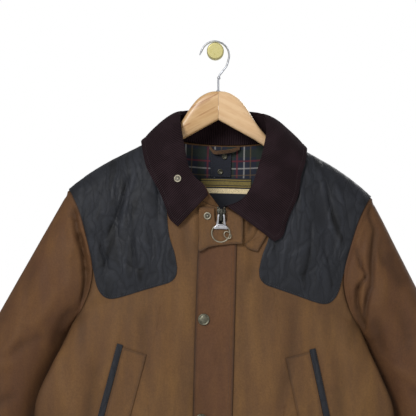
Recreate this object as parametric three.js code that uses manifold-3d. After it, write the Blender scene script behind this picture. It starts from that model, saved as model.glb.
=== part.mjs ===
// A waxed cotton jacket on a wooden hanger that hangs from a wall peg. Millimetres, +Z up.
// The origin is the centre of the peg's flat back face. +Y goes into the wall, and the
// jacket's front faces -Y. The garment is modelled upright about its own centre line,
// then leans a little about its neck, while the hanger stays level.
import * as THREE from 'three'
import { mergeVertices } from 'three/addons/utils/BufferGeometryUtils.js'
import Module from 'manifold-3d'

const wasm = await Module()
wasm.setup()

// Where things hang
const gap = 0.3
const armholeGap = 0.95
const hangerY = -80
const leanAngle = THREE.MathUtils.degToRad(1.4)
const leanPoint = { x: 8.7, z: -154.4 }

// Walls of cloth
const clothWall = 1.6
const cordWall = 2.6
const standWall = 2.2
const flapWall = 1.6

// Shoulders, neck and hem, in the garment's own frame
const shoulderHalf = 234
const ridgeTopZ = -85
const ridgeSlope = 0.534
const tipCurve = { from: 165, amount: 0.0025 }
const crestDepth = 36
const crestDrop = 70
const seamBehindCrest = 0.143
const seamHalfGap = 0.008
const neckHalf = 88
const frontNeckZ = -243
const backNeckZ = -147
const hemZ = -919
const underarmDrop = 203
const roundness = 2.3

// The zip runs a little to the viewer's right of the centre line
const zipX = 2.7
const zipGapHalf = 3.3
const zipTopZ = -245
const zipEndZ = -908

// The body's outer edge by drop below the shoulder tip: half width, the middle of the
// armhole's front and back edges, and half the distance between them
const sideShape = [
  { drop: 0, halfWidth: 234, mid: 0, open: 36 },
  { drop: 18, halfWidth: 224, mid: 0, open: 36 },
  { drop: 41, halfWidth: 214, mid: 0, open: 36 },
  { drop: 83, halfWidth: 201.5, mid: 0, open: 36 },
  { drop: 118, halfWidth: 194, mid: 0, open: 36 },
  { drop: 150, halfWidth: 197, mid: -1, open: 31 },
  { drop: 178, halfWidth: 207, mid: -4, open: 21 },
  { drop: 203, halfWidth: 222, mid: -11, open: 0 },
  { drop: 223, halfWidth: 231, mid: -16, open: 0 },
  { drop: 245, halfWidth: 241, mid: -20, open: 0 },
  { drop: 273, halfWidth: 255, mid: -24, open: 0 },
  { drop: 326, halfWidth: 277, mid: -22, open: 0 },
  { drop: 378, halfWidth: 280, mid: -14, open: 0 },
  { drop: 458, halfWidth: 280, mid: -4, open: 0 },
  { drop: 700, halfWidth: 280, mid: 0, open: 0 },
]

// How much deeper than the crest the middle of each face is, by drop below the ridge
const fullness = [
  { drop: 0, front: 0, back: 0 },
  { drop: 40, front: 3, back: 3 },
  { drop: 80, front: 9, back: 6 },
  { drop: 160, front: 15, back: 9 },
  { drop: 300, front: 16, back: 10 },
  { drop: 450, front: 16, back: 10 },
  { drop: 600, front: 9, back: 5 },
  { drop: 760, front: 2, back: -2 },
  { drop: 840, front: -1, back: -4 },
]

// The large folds of each face, as soft lines in the front view with a height off the cloth
const frontFolds = [
  { fromX: 152, fromZ: -225, toX: 197, toZ: -345, halfWidth: 15, height: -6 },
  { fromX: -150, fromZ: -240, toX: -190, toZ: -345, halfWidth: 15, height: -6 },
  { fromX: 118, fromZ: -205, toX: 128, toZ: -372, halfWidth: 16, height: 4 },
  { fromX: -112, fromZ: -205, toX: -122, toZ: -370, halfWidth: 16, height: 4 },
  { fromX: 205, fromZ: -400, toX: 236, toZ: -640, halfWidth: 20, height: 5 },
  { fromX: -205, fromZ: -410, toX: -228, toZ: -660, halfWidth: 20, height: 5 },
  { fromX: 92, fromZ: -400, toX: 78, toZ: -915, halfWidth: 26, height: 5 },
  { fromX: -88, fromZ: -430, toX: -98, toZ: -915, halfWidth: 26, height: 5 },
  { fromX: 205, fromZ: -650, toX: 196, toZ: -930, halfWidth: 26, height: 7 },
  { fromX: -200, fromZ: -660, toX: -214, toZ: -930, halfWidth: 26, height: 7 },
  { fromX: 140, fromZ: -640, toX: 138, toZ: -930, halfWidth: 24, height: -6 },
  { fromX: -150, fromZ: -670, toX: -156, toZ: -930, halfWidth: 24, height: -6 },
]
const backFolds = [
  { fromX: 60, fromZ: -230, toX: 120, toZ: -560, halfWidth: 24, height: -5 },
  { fromX: -70, fromZ: -220, toX: -128, toZ: -590, halfWidth: 24, height: -5 },
  { fromX: 175, fromZ: -300, toX: 205, toZ: -620, halfWidth: 20, height: 5 },
  { fromX: -170, fromZ: -310, toX: -208, toZ: -600, halfWidth: 20, height: 5 },
  { fromX: 8, fromZ: -420, toX: -14, toZ: -930, halfWidth: 28, height: 6 },
  { fromX: 120, fromZ: -600, toX: 112, toZ: -930, halfWidth: 26, height: -6 },
  { fromX: -118, fromZ: -640, toX: -126, toZ: -930, halfWidth: 26, height: -6 },
  { fromX: 205, fromZ: -600, toX: 210, toZ: -930, halfWidth: 24, height: 6 },
  { fromX: -200, fromZ: -620, toX: -212, toZ: -930, halfWidth: 24, height: 6 },
]

// The collar by place along the neck seam, from the viewer's left front end round the back
// to the right front end: the roll line, and the point of the body that the edge lies on
// (face is -1 in front, 0 on the shoulder ridge, 1 behind)
const collarShape = [
  { at: 0.0, foldX: -18, foldY: -63, foldZ: -224, edgeX: -64, edgeZ: -275, face: -1 },
  { at: 0.05, foldX: -26, foldY: -62, foldZ: -208, edgeX: -77, edgeZ: -263, face: -1 },
  { at: 0.11, foldX: -39, foldY: -59, foldZ: -198, edgeX: -84, edgeZ: -247, face: -1 },
  { at: 0.17, foldX: -50, foldY: -53, foldZ: -180, edgeX: -98, edgeZ: -221, face: -1 },
  { at: 0.23, foldX: -57, foldY: -40, foldZ: -150, edgeX: -113, edgeZ: -188, face: -1 },
  { at: 0.27, foldX: -63, foldY: -21, foldZ: -118, edgeX: -120, edgeZ: -163, face: -1 },
  { at: 0.3, foldX: -66, foldY: 1, foldZ: -99, edgeX: -123, edgeZ: -150, face: 0 },
  { at: 0.35, foldX: -60, foldY: 22, foldZ: -95, edgeX: -112, edgeZ: -168, face: 1 },
  { at: 0.42, foldX: -37, foldY: 38, foldZ: -93, edgeX: -66, edgeZ: -180, face: 1 },
  { at: 0.5, foldX: 0, foldY: 43, foldZ: -92, edgeX: 0, edgeZ: -183, face: 1 },
  { at: 0.58, foldX: 39, foldY: 38, foldZ: -93, edgeX: 66, edgeZ: -180, face: 1 },
  { at: 0.65, foldX: 61, foldY: 22, foldZ: -96, edgeX: 114, edgeZ: -169, face: 1 },
  { at: 0.7, foldX: 68, foldY: 1, foldZ: -101, edgeX: 129, edgeZ: -153, face: 0 },
  { at: 0.73, foldX: 70, foldY: -21, foldZ: -122, edgeX: 130, edgeZ: -170, face: -1 },
  { at: 0.77, foldX: 65, foldY: -40, foldZ: -154, edgeX: 127, edgeZ: -196, face: -1 },
  { at: 0.83, foldX: 57, foldY: -53, foldZ: -184, edgeX: 119, edgeZ: -225, face: -1 },
  { at: 0.89, foldX: 48, foldY: -60, foldZ: -211, edgeX: 108, edgeZ: -260, face: -1 },
  { at: 0.95, foldX: 35, foldY: -63, foldZ: -231, edgeX: 101, edgeZ: -286, face: -1 },
  { at: 1.0, foldX: 13, foldY: -64, foldZ: -242, edgeX: 88, edgeZ: -294, face: -1 },
]
const collarLift = 6.5
const collarRoll = 13
const collarClearance = 6.5
const crestExtra = 0.5

// The sleeve by distance along its outer edge from the shoulder tip: half width in the
// front view, half depth, and how far its middle lies behind the hanger's plane
const sleeveShape = [
  { along: 190, halfWidth: 54, halfDepth: 41, behind: 3 },
  { along: 215, halfWidth: 57, halfDepth: 41, behind: 9 },
  { along: 250, halfWidth: 60, halfDepth: 42, behind: 14 },
  { along: 330, halfWidth: 63, halfDepth: 42, behind: 17 },
  { along: 420, halfWidth: 61, halfDepth: 41, behind: 12 },
  { along: 520, halfWidth: 55, halfDepth: 40, behind: 1 },
  { along: 633, halfWidth: 49, halfDepth: 38, behind: -13 },
]
const sleeveAngle = THREE.MathUtils.degToRad(28.4)
const cuffAngle = THREE.MathUtils.degToRad(13)
const sleeveBendFrom = 260
const sleeveLength = 633
const capSteps = [0, 0.3, 0.64]
const armRings = [202, 224, 252, 290, 335, 380, 430, 480, 530, 582, 633]
const sleeveFolds = [
  { fromX: 228, fromZ: -250, toX: 212, toZ: -350, halfWidth: 13, height: -7 },
  { fromX: 246, fromZ: -290, toX: 230, toZ: -400, halfWidth: 14, height: 5 },
  { fromX: 262, fromZ: -330, toX: 300, toZ: -430, halfWidth: 15, height: -5 },
  { fromX: 300, fromZ: -440, toX: 360, toZ: -500, halfWidth: 16, height: 5 },
  { fromX: 420, fromZ: -560, toX: 350, toZ: -610, halfWidth: 18, height: -6 },
  { fromX: 440, fromZ: -620, toX: 370, toZ: -650, halfWidth: 18, height: 5 },
]

// Small helpers on numbers and tables
const smooth = t => {
  const k = Math.min(1, Math.max(0, t))
  return k * k * (3 - 2 * k)
}

// Reads one column of a table at a place, with a cubic through its rows
function read(rows, by, place, column) {
  let i = rows.findIndex(row => row[by] >= place)
  if (i === -1) i = rows.length - 1
  i = Math.max(1, i)
  const slope = k => {
    const before = rows[Math.max(0, k - 1)]
    const after = rows[Math.min(rows.length - 1, k + 1)]
    return (after[column] - before[column]) / (after[by] - before[by])
  }
  const low = rows[i - 1]
  const high = rows[i]
  const span = high[by] - low[by]
  const t = Math.min(1, Math.max(0, (place - low[by]) / span))
  const rise = high[column] - low[column]
  const a = slope(i - 1) * span - rise
  const b = -slope(i) * span + rise
  return low[column] + t * rise + t * (1 - t) * (a * (1 - t) + b * t)
}

// The height that soft folds give the cloth at a point of the front view
function foldHeight(folds, x, z) {
  let height = 0
  for (const fold of folds) {
    const runX = fold.toX - fold.fromX
    const runZ = fold.toZ - fold.fromZ
    const length = Math.hypot(runX, runZ)
    const along = ((x - fold.fromX) * runX + (z - fold.fromZ) * runZ) / (length * length)
    if (along <= 0 || along >= 1) continue
    const off = ((x - fold.fromX) * runZ - (z - fold.fromZ) * runX) / length
    const fade = 1 - (2 * along - 1) ** 4
    height += fold.height * fade * Math.exp(-((off / fold.halfWidth) ** 2))
  }
  return height
}

// The body's surface. q goes from the zip (0) to the outer edge (1). w is 0 on the shoulder
// ridge, 1 where the crest has turned straight down, and goes on down to the hem.
const ridgeZ = x0 =>
  ridgeTopZ - ridgeSlope * x0 - tipCurve.amount * Math.max(0, x0 - tipCurve.from) ** 2
const tipZ = ridgeZ(shoulderHalf)
const acrossAt = q => zipGapHalf + q * (shoulderHalf - zipGapHalf)
const neckQ = (neckHalf - zipGapHalf) / (shoulderHalf - zipGapHalf)
const quarter = Math.PI / 2
const dropAt = w =>
  w < 1 ? crestDrop * (1 - Math.cos(w * quarter)) : crestDrop * (1 + (w - 1) * quarter)
const wAt = drop =>
  drop < crestDrop
    ? Math.acos(1 - drop / crestDrop) / quarter
    : 1 + (drop / crestDrop - 1) / quarter
const hemW = q => wAt(ridgeZ(acrossAt(q)) - hemZ)

function bodyPoint(face, side, q, w) {
  const ridge = ridgeZ(acrossAt(q))
  const drop = dropAt(w)
  const sideDrop = (drop / (ridge - hemZ)) * (tipZ - hemZ)
  const turn = w < 1 ? Math.sin(w * quarter) : 1
  const open = Math.max(gap / 2, read(sideShape, 'drop', sideDrop, 'open'))
  const mid = read(sideShape, 'drop', sideDrop, 'mid')
  const rim = w < 1 ? face * crestDepth * turn : mid + face * open
  const extra = read(fullness, 'drop', drop, face < 0 ? 'front' : 'back')
  const full = face * (crestDepth * turn + extra)
  const bow = (1 - q ** roundness) ** (1 / roundness)
  const halfWidth = read(sideShape, 'drop', sideDrop, 'halfWidth')
  const x = side * (zipGapHalf + q * (halfWidth - zipGapHalf)) + zipX * (1 - q)
  const z = ridge - drop
  const fade = (1 - q ** 8) * smooth(w / 0.6)
  const fold = foldHeight(face < 0 ? frontFolds : backFolds, x, z)
  return new THREE.Vector3(x, rim + (full - rim) * bow + face * fade * fold, z)
}

// The unit normal of the body's surface, pointing away from the inside
function bodyNormal(face, side, q, w) {
  const step = 0.004
  const acrossStart = bodyPoint(face, side, Math.max(0, q - step), w)
  const acrossEnd = bodyPoint(face, side, Math.min(1, q + step), w)
  const downStart = bodyPoint(face, side, q, w - step)
  const downEnd = bodyPoint(face, side, q, w + step)
  const across = acrossEnd.sub(acrossStart)
  const down = downEnd.sub(downStart)
  return across.cross(down).multiplyScalar(face * side).normalize()
}

// Where the body's surface is at a point of the front view
function findOnBody(face, x, z) {
  const side = x < zipX ? -1 : 1
  let q = Math.min(1, Math.abs(x) / shoulderHalf)
  let w = 1
  for (let i = 0; i < 30; i++) {
    w = Math.max(0, wAt(Math.max(0, ridgeZ(acrossAt(q)) - z)))
    const here = bodyPoint(face, side, q, w)
    q = Math.min(1, Math.max(0, q + (side * (x - here.x)) / shoulderHalf))
  }
  return { side, q, w }
}

// A point of the body's surface at a place of the front view, moved out by a distance
function bodyPlace(face, x, z, out) {
  const { side, q, w } = findOnBody(face, x, z)
  const normal = bodyNormal(face, side, q, w)
  return { point: bodyPoint(face, side, q, w).addScaledVector(normal, out), normal }
}

// Rows of the two faces at the shoulder tip, from the seam behind the ridge to the hem
const underarmW = wAt(underarmDrop)
const lowRows = [2.4, 2.62, 2.85, 3.3, 3.8, 4.4, 5.0, 5.6, 6.15, hemW(1)]
const armholeRows = [0.35, 0.6, 0.85, 1.1, 1.4, 1.7, 1.97, underarmW]
const frontRows = [-seamBehindCrest, 0, 0.15, ...armholeRows, ...lowRows]
const backRows = [seamBehindCrest + seamHalfGap, ...armholeRows, ...lowRows]
const outerColumns = [0.45, 0.57, 0.7, 0.82, 0.92, 0.97, 1]
const neckColumns = [0, 0.27, 0.52, 0.74, 0.9, 0.97, 0.994, 1].map(k => k * neckQ)
const frontColumns = [...neckColumns, ...outerColumns]
const backColumns = [0, 0.45, 0.75, 0.93, 1].map(k => k * neckQ).concat([0.5, 0.66, 0.8, 0.92, 1])

// The top of a column: the neckline near the middle, the shoulder seam further out
function topW(face, q) {
  const x0 = acrossAt(q)
  if (q < neckQ - 1e-9) {
    const dip = neckDip(face) * Math.sqrt(1 - (x0 / neckHalf) ** 2)
    return wAt(ridgeZ(x0) - ridgeZ(neckHalf) + dip)
  }
  const run = smooth((x0 - neckHalf) / 40)
  return face < 0 ? -seamBehindCrest * run : seamBehindCrest * run + seamHalfGap
}
const neckDip = face => ridgeZ(neckHalf) - (face < 0 ? frontNeckZ : backNeckZ)

// The radial direction of the armhole, shared by the panels' edges and the sleeve
const armholeMiddle = { y: -2, z: tipZ - underarmDrop / 2 }
function armholeNormal(face, side, w) {
  const here = bodyPoint(face, side, 1, w)
  const before = bodyPoint(face, side, 1, Math.max(w - 0.05, 0))
  const after = bodyPoint(face, side, 1, Math.min(w + 0.05, underarmW))
  const along = after.sub(before).setX(0).normalize()
  const out = new THREE.Vector3(0, here.y - armholeMiddle.y, here.z - armholeMiddle.z)
  return out.addScaledVector(along, -out.dot(along)).normalize()
}

function panelNormal(face, side, q, w) {
  if (q < 1) return bodyNormal(face, side, q, w)
  if (w < 0.2) return bodyNormal(face, side, 0.999, w)
  if (Math.abs(w - underarmW) < 1e-6) return new THREE.Vector3(0, 0, -1)
  if (w < underarmW) return armholeNormal(face, side, w)
  return new THREE.Vector3(side, 0, 0)
}

// A grid of points with normals, column by column
function bodyGrid(face, columns, rows) {
  const first = rows[0]
  const last = rows[rows.length - 1]
  return columns.map(({ side, q }) => {
    const top = topW(face, q)
    const bottom = hemW(q)
    return rows.map(row => {
      const w = top + ((row - first) / (last - first)) * (bottom - top)
      return { point: bodyPoint(face, side, q, w), normal: panelNormal(face, side, q, w) }
    })
  })
}
const columnsOf = (side, list) => list.map(q => ({ side, q }))
const bothSides = list => [
  ...columnsOf(-1, list).reverse(),
  ...columnsOf(1, list),
]
const frontGrid = bodyGrid(-1, bothSides(frontColumns), frontRows)
const backGrid = bodyGrid(1, bothSides(backColumns), backRows)

// A closed solid between two offsets of a grid; around joins the last column to the first
function slab(grid, inner, outer, around = false) {
  const columns = grid.length
  const rows = grid[0].length
  const positions = []
  for (const offset of [outer, inner]) {
    for (const column of grid) {
      for (const { point, normal } of column) {
        positions.push(...point.clone().addScaledVector(normal, offset).toArray())
      }
    }
  }
  const id = (layer, column, row) => layer * columns * rows + (column % columns) * rows + row
  const indices = []
  const quad = (a, b, c, d) => indices.push(a, b, c, a, c, d)
  const lastColumn = around ? columns : columns - 1
  for (let i = 0; i < lastColumn; i++) {
    for (let j = 0; j < rows - 1; j++) {
      quad(id(0, i, j), id(0, i, j + 1), id(0, i + 1, j + 1), id(0, i + 1, j))
      quad(id(1, i, j), id(1, i + 1, j), id(1, i + 1, j + 1), id(1, i, j + 1))
    }
    quad(id(0, i, 0), id(0, i + 1, 0), id(1, i + 1, 0), id(1, i, 0))
    const end = rows - 1
    quad(id(0, i, end), id(1, i, end), id(1, i + 1, end), id(0, i + 1, end))
  }
  if (!around) {
    for (let j = 0; j < rows - 1; j++) {
      quad(id(0, 0, j), id(1, 0, j), id(1, 0, j + 1), id(0, 0, j + 1))
      const end = columns - 1
      quad(id(0, end, j), id(0, end, j + 1), id(1, end, j + 1), id(1, end, j))
    }
  }
  return facingOut(positions, indices)
}

// A geometry from positions and indices, its faces turned outward
function facingOut(positions, indices) {
  const at = k => new THREE.Vector3().fromArray(positions, 3 * k)
  let volume = 0
  for (let k = 0; k < indices.length; k += 3) {
    volume += at(indices[k]).dot(at(indices[k + 1]).cross(at(indices[k + 2])))
  }
  if (volume < 0) {
    for (let k = 0; k < indices.length; k += 3) {
      const kept = indices[k + 1]
      indices[k + 1] = indices[k + 2]
      indices[k + 2] = kept
    }
  }
  const geometry = new THREE.BufferGeometry()
  geometry.setAttribute('position', new THREE.Float32BufferAttribute(positions, 3))
  geometry.setIndex(indices)
  return geometry
}

// Shared corners merged, and triangles without area left out
function welded(geometry) {
  const bare = geometry.clone()
  bare.deleteAttribute('normal')
  bare.deleteAttribute('uv')
  const merged = mergeVertices(bare, 1e-4)
  const kept = []
  const index = merged.index.array
  for (let k = 0; k < index.length; k += 3) {
    const [a, b, c] = [index[k], index[k + 1], index[k + 2]]
    if (a !== b && b !== c && c !== a) kept.push(a, b, c)
  }
  merged.setIndex(kept)
  return merged
}

function solidOf(geometry) {
  const merged = welded(geometry)
  return new wasm.Manifold(
    new wasm.Mesh({
      numProp: 3,
      vertProperties: new Float32Array(merged.attributes.position.array),
      triVerts: new Uint32Array(merged.index.array),
    })
  )
}

function geometryOf(solid) {
  const { vertProperties, triVerts } = solid.getMesh()
  const geometry = new THREE.BufferGeometry()
  geometry.setAttribute('position', new THREE.Float32BufferAttribute(vertProperties, 3))
  geometry.setIndex([...triVerts])
  return geometry
}

// A prism along Y over an outline of the front view
function prism(outline, fromY, toY) {
  const shape = new THREE.Shape(outline.map(([x, z]) => new THREE.Vector2(x, z)))
  const geometry = new THREE.ExtrudeGeometry(shape, { depth: toY - fromY, bevelEnabled: false })
  return geometry.rotateX(quarter).translate(0, toY, 0)
}
const frontReach = [-150, 20]
const backReach = [-10, 90]

// A piece that lies on a panel: the panel's own points moved out, cut to an outline
function laidOn(grid, inner, outer, outline, reach) {
  const layer = solidOf(slab(grid, inner, outer))
  return layer.intersect(solidOf(prism(outline, ...reach)))
}
const onFront = (inner, outer, outline) =>
  geometryOf(laidOn(frontGrid, inner, outer, outline, frontReach))
const onBackLining = (inner, outer, outline) =>
  geometryOf(laidOn(backGrid, inner, outer, outline, backReach))
const mirrored = outline => outline.map(([x, z]) => [-x, z]).reverse()

// A closed solid through sections with the same number of points
function loft(sections) {
  const count = sections[0].length
  const positions = sections.flat().flatMap(point => point.toArray())
  const indices = []
  for (let k = 0; k < sections.length - 1; k++) {
    for (let i = 0; i < count; i++) {
      const a = k * count + i
      const b = k * count + ((i + 1) % count)
      indices.push(a, b, b + count, a, b + count, a + count)
    }
  }
  const end = (sections.length - 1) * count
  for (let i = 1; i < count - 1; i++) {
    indices.push(0, i + 1, i, end, end + i, end + i + 1)
  }
  return facingOut(positions, indices)
}

const circle = (radius, sides) =>
  new THREE.Shape(
    Array.from({ length: sides }, (_, i) => {
      const turn = (i / sides) * 2 * Math.PI
      return new THREE.Vector2(radius * Math.cos(turn), radius * Math.sin(turn))
    })
  )
const tube = (curve, radius, sides, steps) =>
  new THREE.ExtrudeGeometry(circle(radius, sides), { extrudePath: curve, steps })
const vector = ([x, y, z]) => new THREE.Vector3(x, y, z)

// Materials, a new one for each mesh
const finishes = {
  waxedCotton: { color: 0x6a4f33, roughness: 0.78, metalness: 0 },
  darkWax: { color: 0x2e2f33, roughness: 0.7, metalness: 0 },
  corduroy: { color: 0x241b1d, roughness: 0.95, metalness: 0 },
  lining: { color: 0x171a24, roughness: 0.95, metalness: 0 },
  labelCloth: { color: 0x6f6440, roughness: 0.9, metalness: 0 },
  brownTape: { color: 0x5a4028, roughness: 0.9, metalness: 0 },
  zipTape: { color: 0x3b3026, roughness: 0.9, metalness: 0 },
  brass: { color: 0xcfc98a, roughness: 0.35, metalness: 1 },
  silver: { color: 0xc9c9cc, roughness: 0.25, metalness: 1 },
  agedBrass: { color: 0x8d8768, roughness: 0.35, metalness: 1 },
  wood: { color: 0xe0c592, roughness: 0.5, metalness: 0 },
}

const garment = new THREE.Group()
const hardware = new THREE.Group()
function add(group, name, geometry, finish) {
  const mesh = new THREE.Mesh(welded(geometry), new THREE.MeshStandardMaterial(finishes[finish]))
  mesh.name = name
  group.add(mesh)
  return mesh
}

// Front and back panels
const middle = frontGrid.length / 2
add(garment, 'front_left', slab(frontGrid.slice(0, middle), -clothWall, 0), 'waxedCotton')
add(garment, 'front_right', slab(frontGrid.slice(middle), -clothWall, 0), 'waxedCotton')
add(garment, 'back', slab(backGrid, -clothWall, 0), 'waxedCotton')

// Sleeves
function sleeveEdge(along) {
  const steps = 40
  const place = new THREE.Vector2(shoulderHalf, tipZ)
  let angle = sleeveAngle
  for (let i = 0; i < steps; i++) {
    const here = ((i + 0.5) / steps) * along
    const bend = Math.max(0, here - sleeveBendFrom) / (sleeveLength - sleeveBendFrom)
    angle = sleeveAngle + (cuffAngle - sleeveAngle) * bend
    place.x += (Math.sin(angle) * along) / steps
    place.y -= (Math.cos(angle) * along) / steps
  }
  return { x: place.x, z: place.y, angle }
}

function sleeveRing(side, along, turns) {
  const edge = sleeveEdge(along)
  const halfWidth = read(sleeveShape, 'along', along, 'halfWidth')
  const halfDepth = read(sleeveShape, 'along', along, 'halfDepth')
  const behind = read(sleeveShape, 'along', along, 'behind')
  return turns.map(turn => {
    const inward = halfWidth * (1 - Math.cos(turn))
    const x = edge.x - inward * Math.cos(edge.angle)
    const z = edge.z - inward * Math.sin(edge.angle)
    const front = Math.sin(turn)
    const fold = foldHeight(sleeveFolds, x, z) * front
    return new THREE.Vector3(side * x, behind - halfDepth * front - fold, z)
  })
}

function sleeveGrid(side) {
  const loop = [
    ...frontRows.slice(0, frontRows.indexOf(underarmW) + 1).map(w => ({ face: -1, w })),
    ...backRows.slice(0, backRows.indexOf(underarmW)).reverse().map(w => ({ face: 1, w })),
  ]
  const points = loop.map(({ face, w }) => bodyPoint(face, side, 1, w))
  const turns = points.map(({ y, z }) => {
    const across = -(y - armholeMiddle.y) / crestDepth
    const up = (z - armholeMiddle.z) / (underarmDrop / 2)
    return Math.atan2(across, up)
  })
  const firstRing = sleeveRing(side, armRings[0], turns)
  const rings = capSteps.map(step =>
    points.map((point, i) => {
      const puff = 5 * Math.sin(Math.PI * step) * Math.sin(turns[i])
      return point.clone().lerp(firstRing[i], step).add(new THREE.Vector3(0, -puff, 0))
    })
  )
  for (const along of armRings) rings.push(sleeveRing(side, along, turns))
  rings[0].forEach((point, i) => {
    const away = rings[1][i].clone().sub(point).normalize()
    point.addScaledVector(away, armholeGap)
  })
  const count = loop.length
  return points.map((_, i) =>
    rings.map((ring, k) => {
      if (k === 0) {
        const { face, w } = loop[i]
        return { point: ring[i], normal: panelNormal(face, side, 1, w) }
      }
      const around = ring[(i + 1) % count].clone().sub(ring[(i + count - 1) % count])
      const next = rings[Math.min(k + 1, rings.length - 1)][i]
      const along = next.clone().sub(rings[k - 1][i])
      return { point: ring[i], normal: along.cross(around).multiplyScalar(-side).normalize() }
    })
  )
}
for (const [name, side] of [['sleeve_left', -1], ['sleeve_right', 1]]) {
  add(garment, name, slab(sleeveGrid(side), -clothWall, 0, true), 'waxedCotton')
}

// Dark patches on the front of the shoulders
const patchOutline = [
  [80, -90], [80.4, -200], [78, -283], [66, -318], [63, -340], [66, -352], [74, -362.5],
  [121, -376.6], [161, -389], [174, -387], [183, -378], [189, -363.4], [260, -363.4], [260, -90],
]
add(garment, 'shoulder_patch_right', onFront(gap, gap + flapWall, patchOutline), 'darkWax')
add(garment, 'shoulder_patch_left', onFront(gap, gap + flapWall, mirrored(patchOutline)), 'darkWax')

// Zip tapes with the chain between them
const strip = (fromX, toX, fromZ, toZ) => [[fromX, fromZ], [toX, fromZ], [toX, toZ], [fromX, toZ]]
const tapeHalf = 14
const chainHalf = zipGapHalf - gap
const tapeThick = 1.2
const chainOuter = 0.2
const tapeOuter = -clothWall - gap
const zipLayers = [
  [tapeOuter - tapeThick, tapeOuter, tapeHalf],
  [tapeOuter - gap, chainOuter, chainHalf],
].map(([inner, outer, half]) => {
  const outline = strip(zipX - half, zipX + half, zipEndZ, zipTopZ)
  return laidOn(frontGrid, inner, outer, outline, frontReach)
})
add(garment, 'zip_tape', geometryOf(zipLayers[0].add(zipLayers[1])), 'zipTape')

// Storm fly over the zip, and the throat flap over its top
const flyOuter = gap + 1.8
const flyOutline = [
  [-31, -272], [28, -272], [28, -500], [27, -912], [-33, -912], [-34, -500], [-33, -360],
]
add(garment, 'storm_fly', onFront(gap, flyOuter, flyOutline), 'waxedCotton')

const flapOuter = flyOuter + gap + flapWall
const flapOutline = [
  [-32, -243], [-8, -243], [-7.5, -262], [-4, -269], [9, -269], [12.8, -262], [12.5, -246],
  [36, -257], [37, -272], [36.4, -299], [20.6, -300], [-14, -305.5], [-28, -312.5], [-31, -312],
]
add(garment, 'throat_flap', onFront(flyOuter + gap, flapOuter, flapOutline), 'waxedCotton')

const strapOutline = [
  [40, -299], [45, -306], [60, -311], [73.4, -285], [76, -273], [66, -266], [53, -291],
]
add(garment, 'throat_strap', onFront(gap, gap + flapWall, strapOutline), 'waxedCotton')

// Slanting hand pockets: a welt, and a bound edge along its mouth
const mouth = { top: [149, -459], slant: new THREE.Vector2(0.232, -0.973), length: 178 }
const bindingHalf = 4.8
const bindingOuter = 3
const weltWidth = 39
const besideMouth = (along, inboard) => [
  mouth.top[0] + mouth.slant.x * along + mouth.slant.y * inboard,
  mouth.top[1] + mouth.slant.y * along - mouth.slant.x * inboard,
]
const bindingOutline = [
  besideMouth(0, -bindingHalf), besideMouth(mouth.length, -bindingHalf),
  besideMouth(mouth.length, bindingHalf), besideMouth(0, bindingHalf),
]
const weltStart = bindingHalf + gap
const weltOutline = [
  besideMouth(3, weltStart), besideMouth(mouth.length - 4, weltStart),
  besideMouth(mouth.length - 14, weltStart + weltWidth), besideMouth(5, weltStart + weltWidth),
]
for (const [name, place] of [['right', outline => outline], ['left', mirrored]]) {
  add(garment, `pocket_binding_${name}`, onFront(gap, bindingOuter, place(bindingOutline)), 'darkWax')
  add(garment, `pocket_welt_${name}`, onFront(gap, gap + flapWall, place(weltOutline)), 'waxedCotton')
}

// Inside of the back neck: lining, tab and label
const liningOuter = -clothWall - gap
const liningInner = liningOuter - 0.9
const tagOuter = liningInner - gap
const liningOutline = [[-84, -152], [-84, -292], [84, -292], [84, -152]]
add(garment, 'lining_back', onBackLining(liningInner, liningOuter, liningOutline), 'lining')
const tabWall = 1.4
const tabOutline = strip(-16, 17, -196, -153)
add(garment, 'hood_tab', onBackLining(tagOuter - tabWall, tagOuter, tabOutline), 'lining')
const labelOutline = strip(-30, 48, -248, -197)
add(garment, 'label', onBackLining(tagOuter - 0.8, tagOuter, labelOutline), 'labelCloth')

// Collar: the stand rises from the neck seam to the roll, and the fall turns down over it
const neckStations = [
  ...frontColumns.slice(0, 8).map(q => ({ face: -1, side: -1, q })),
  ...backColumns.slice(1, 4).reverse().map(q => ({ face: 1, side: -1, q })),
  ...backColumns.slice(0, 4).map(q => ({ face: 1, side: 1, q })),
  ...frontColumns.slice(0, 8).reverse().map(q => ({ face: -1, side: 1, q })),
]
const neckPoints = neckStations.map(({ face, side, q }) => bodyPoint(face, side, q, topW(face, q)))
const neckLengths = [0]
for (let i = 1; i < neckPoints.length; i++) {
  neckLengths.push(neckLengths[i - 1] + neckPoints[i].distanceTo(neckPoints[i - 1]))
}
const neckAt = neckLengths.map(length => length / neckLengths[neckLengths.length - 1])

const collarRows = collarShape.map(row => {
  const onRidge = row.face === 0
  const side = Math.sign(row.edgeX) || 1
  const q = (Math.abs(row.edgeX) - zipGapHalf) / (shoulderHalf - zipGapHalf)
  const edge = onRidge
    ? bodyPoint(-1, side, q, 0).addScaledVector(bodyNormal(-1, side, q, 0), collarLift)
    : bodyPlace(row.face, row.edgeX, row.edgeZ, collarLift).point
  return { ...row, edgeX: edge.x, edgeY: edge.y, edgeZ: edge.z }
})
const collarPoint = (part, at) =>
  vector(['X', 'Y', 'Z'].map(axis => read(collarRows, 'at', at, part + axis)))

// The fall's cross-section at a station: from the roll (0) to the outer edge (1)
function fallPoint(at, t) {
  const fold = collarPoint('fold', at)
  const edge = collarPoint('edge', at)
  const ahead = collarPoint('fold', Math.min(1, at + 0.01))
  const along = ahead.sub(collarPoint('fold', Math.max(0, at - 0.01)))
  const chord = edge.clone().sub(fold)
  const out = along.cross(chord).normalize()
  const roll = collarRoll * (0.35 + 0.65 * smooth(Math.min(at, 1 - at) / 0.25))
  const knee = fold.clone().lerp(edge, 0.22).addScaledVector(out, roll)
  const point = fold.multiplyScalar((1 - t) ** 2)
    .addScaledVector(knee, 2 * t * (1 - t))
    .addScaledVector(edge, t * t)
  return clearOfBody(point, collarClearance * smooth(t / 0.4))
}

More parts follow.
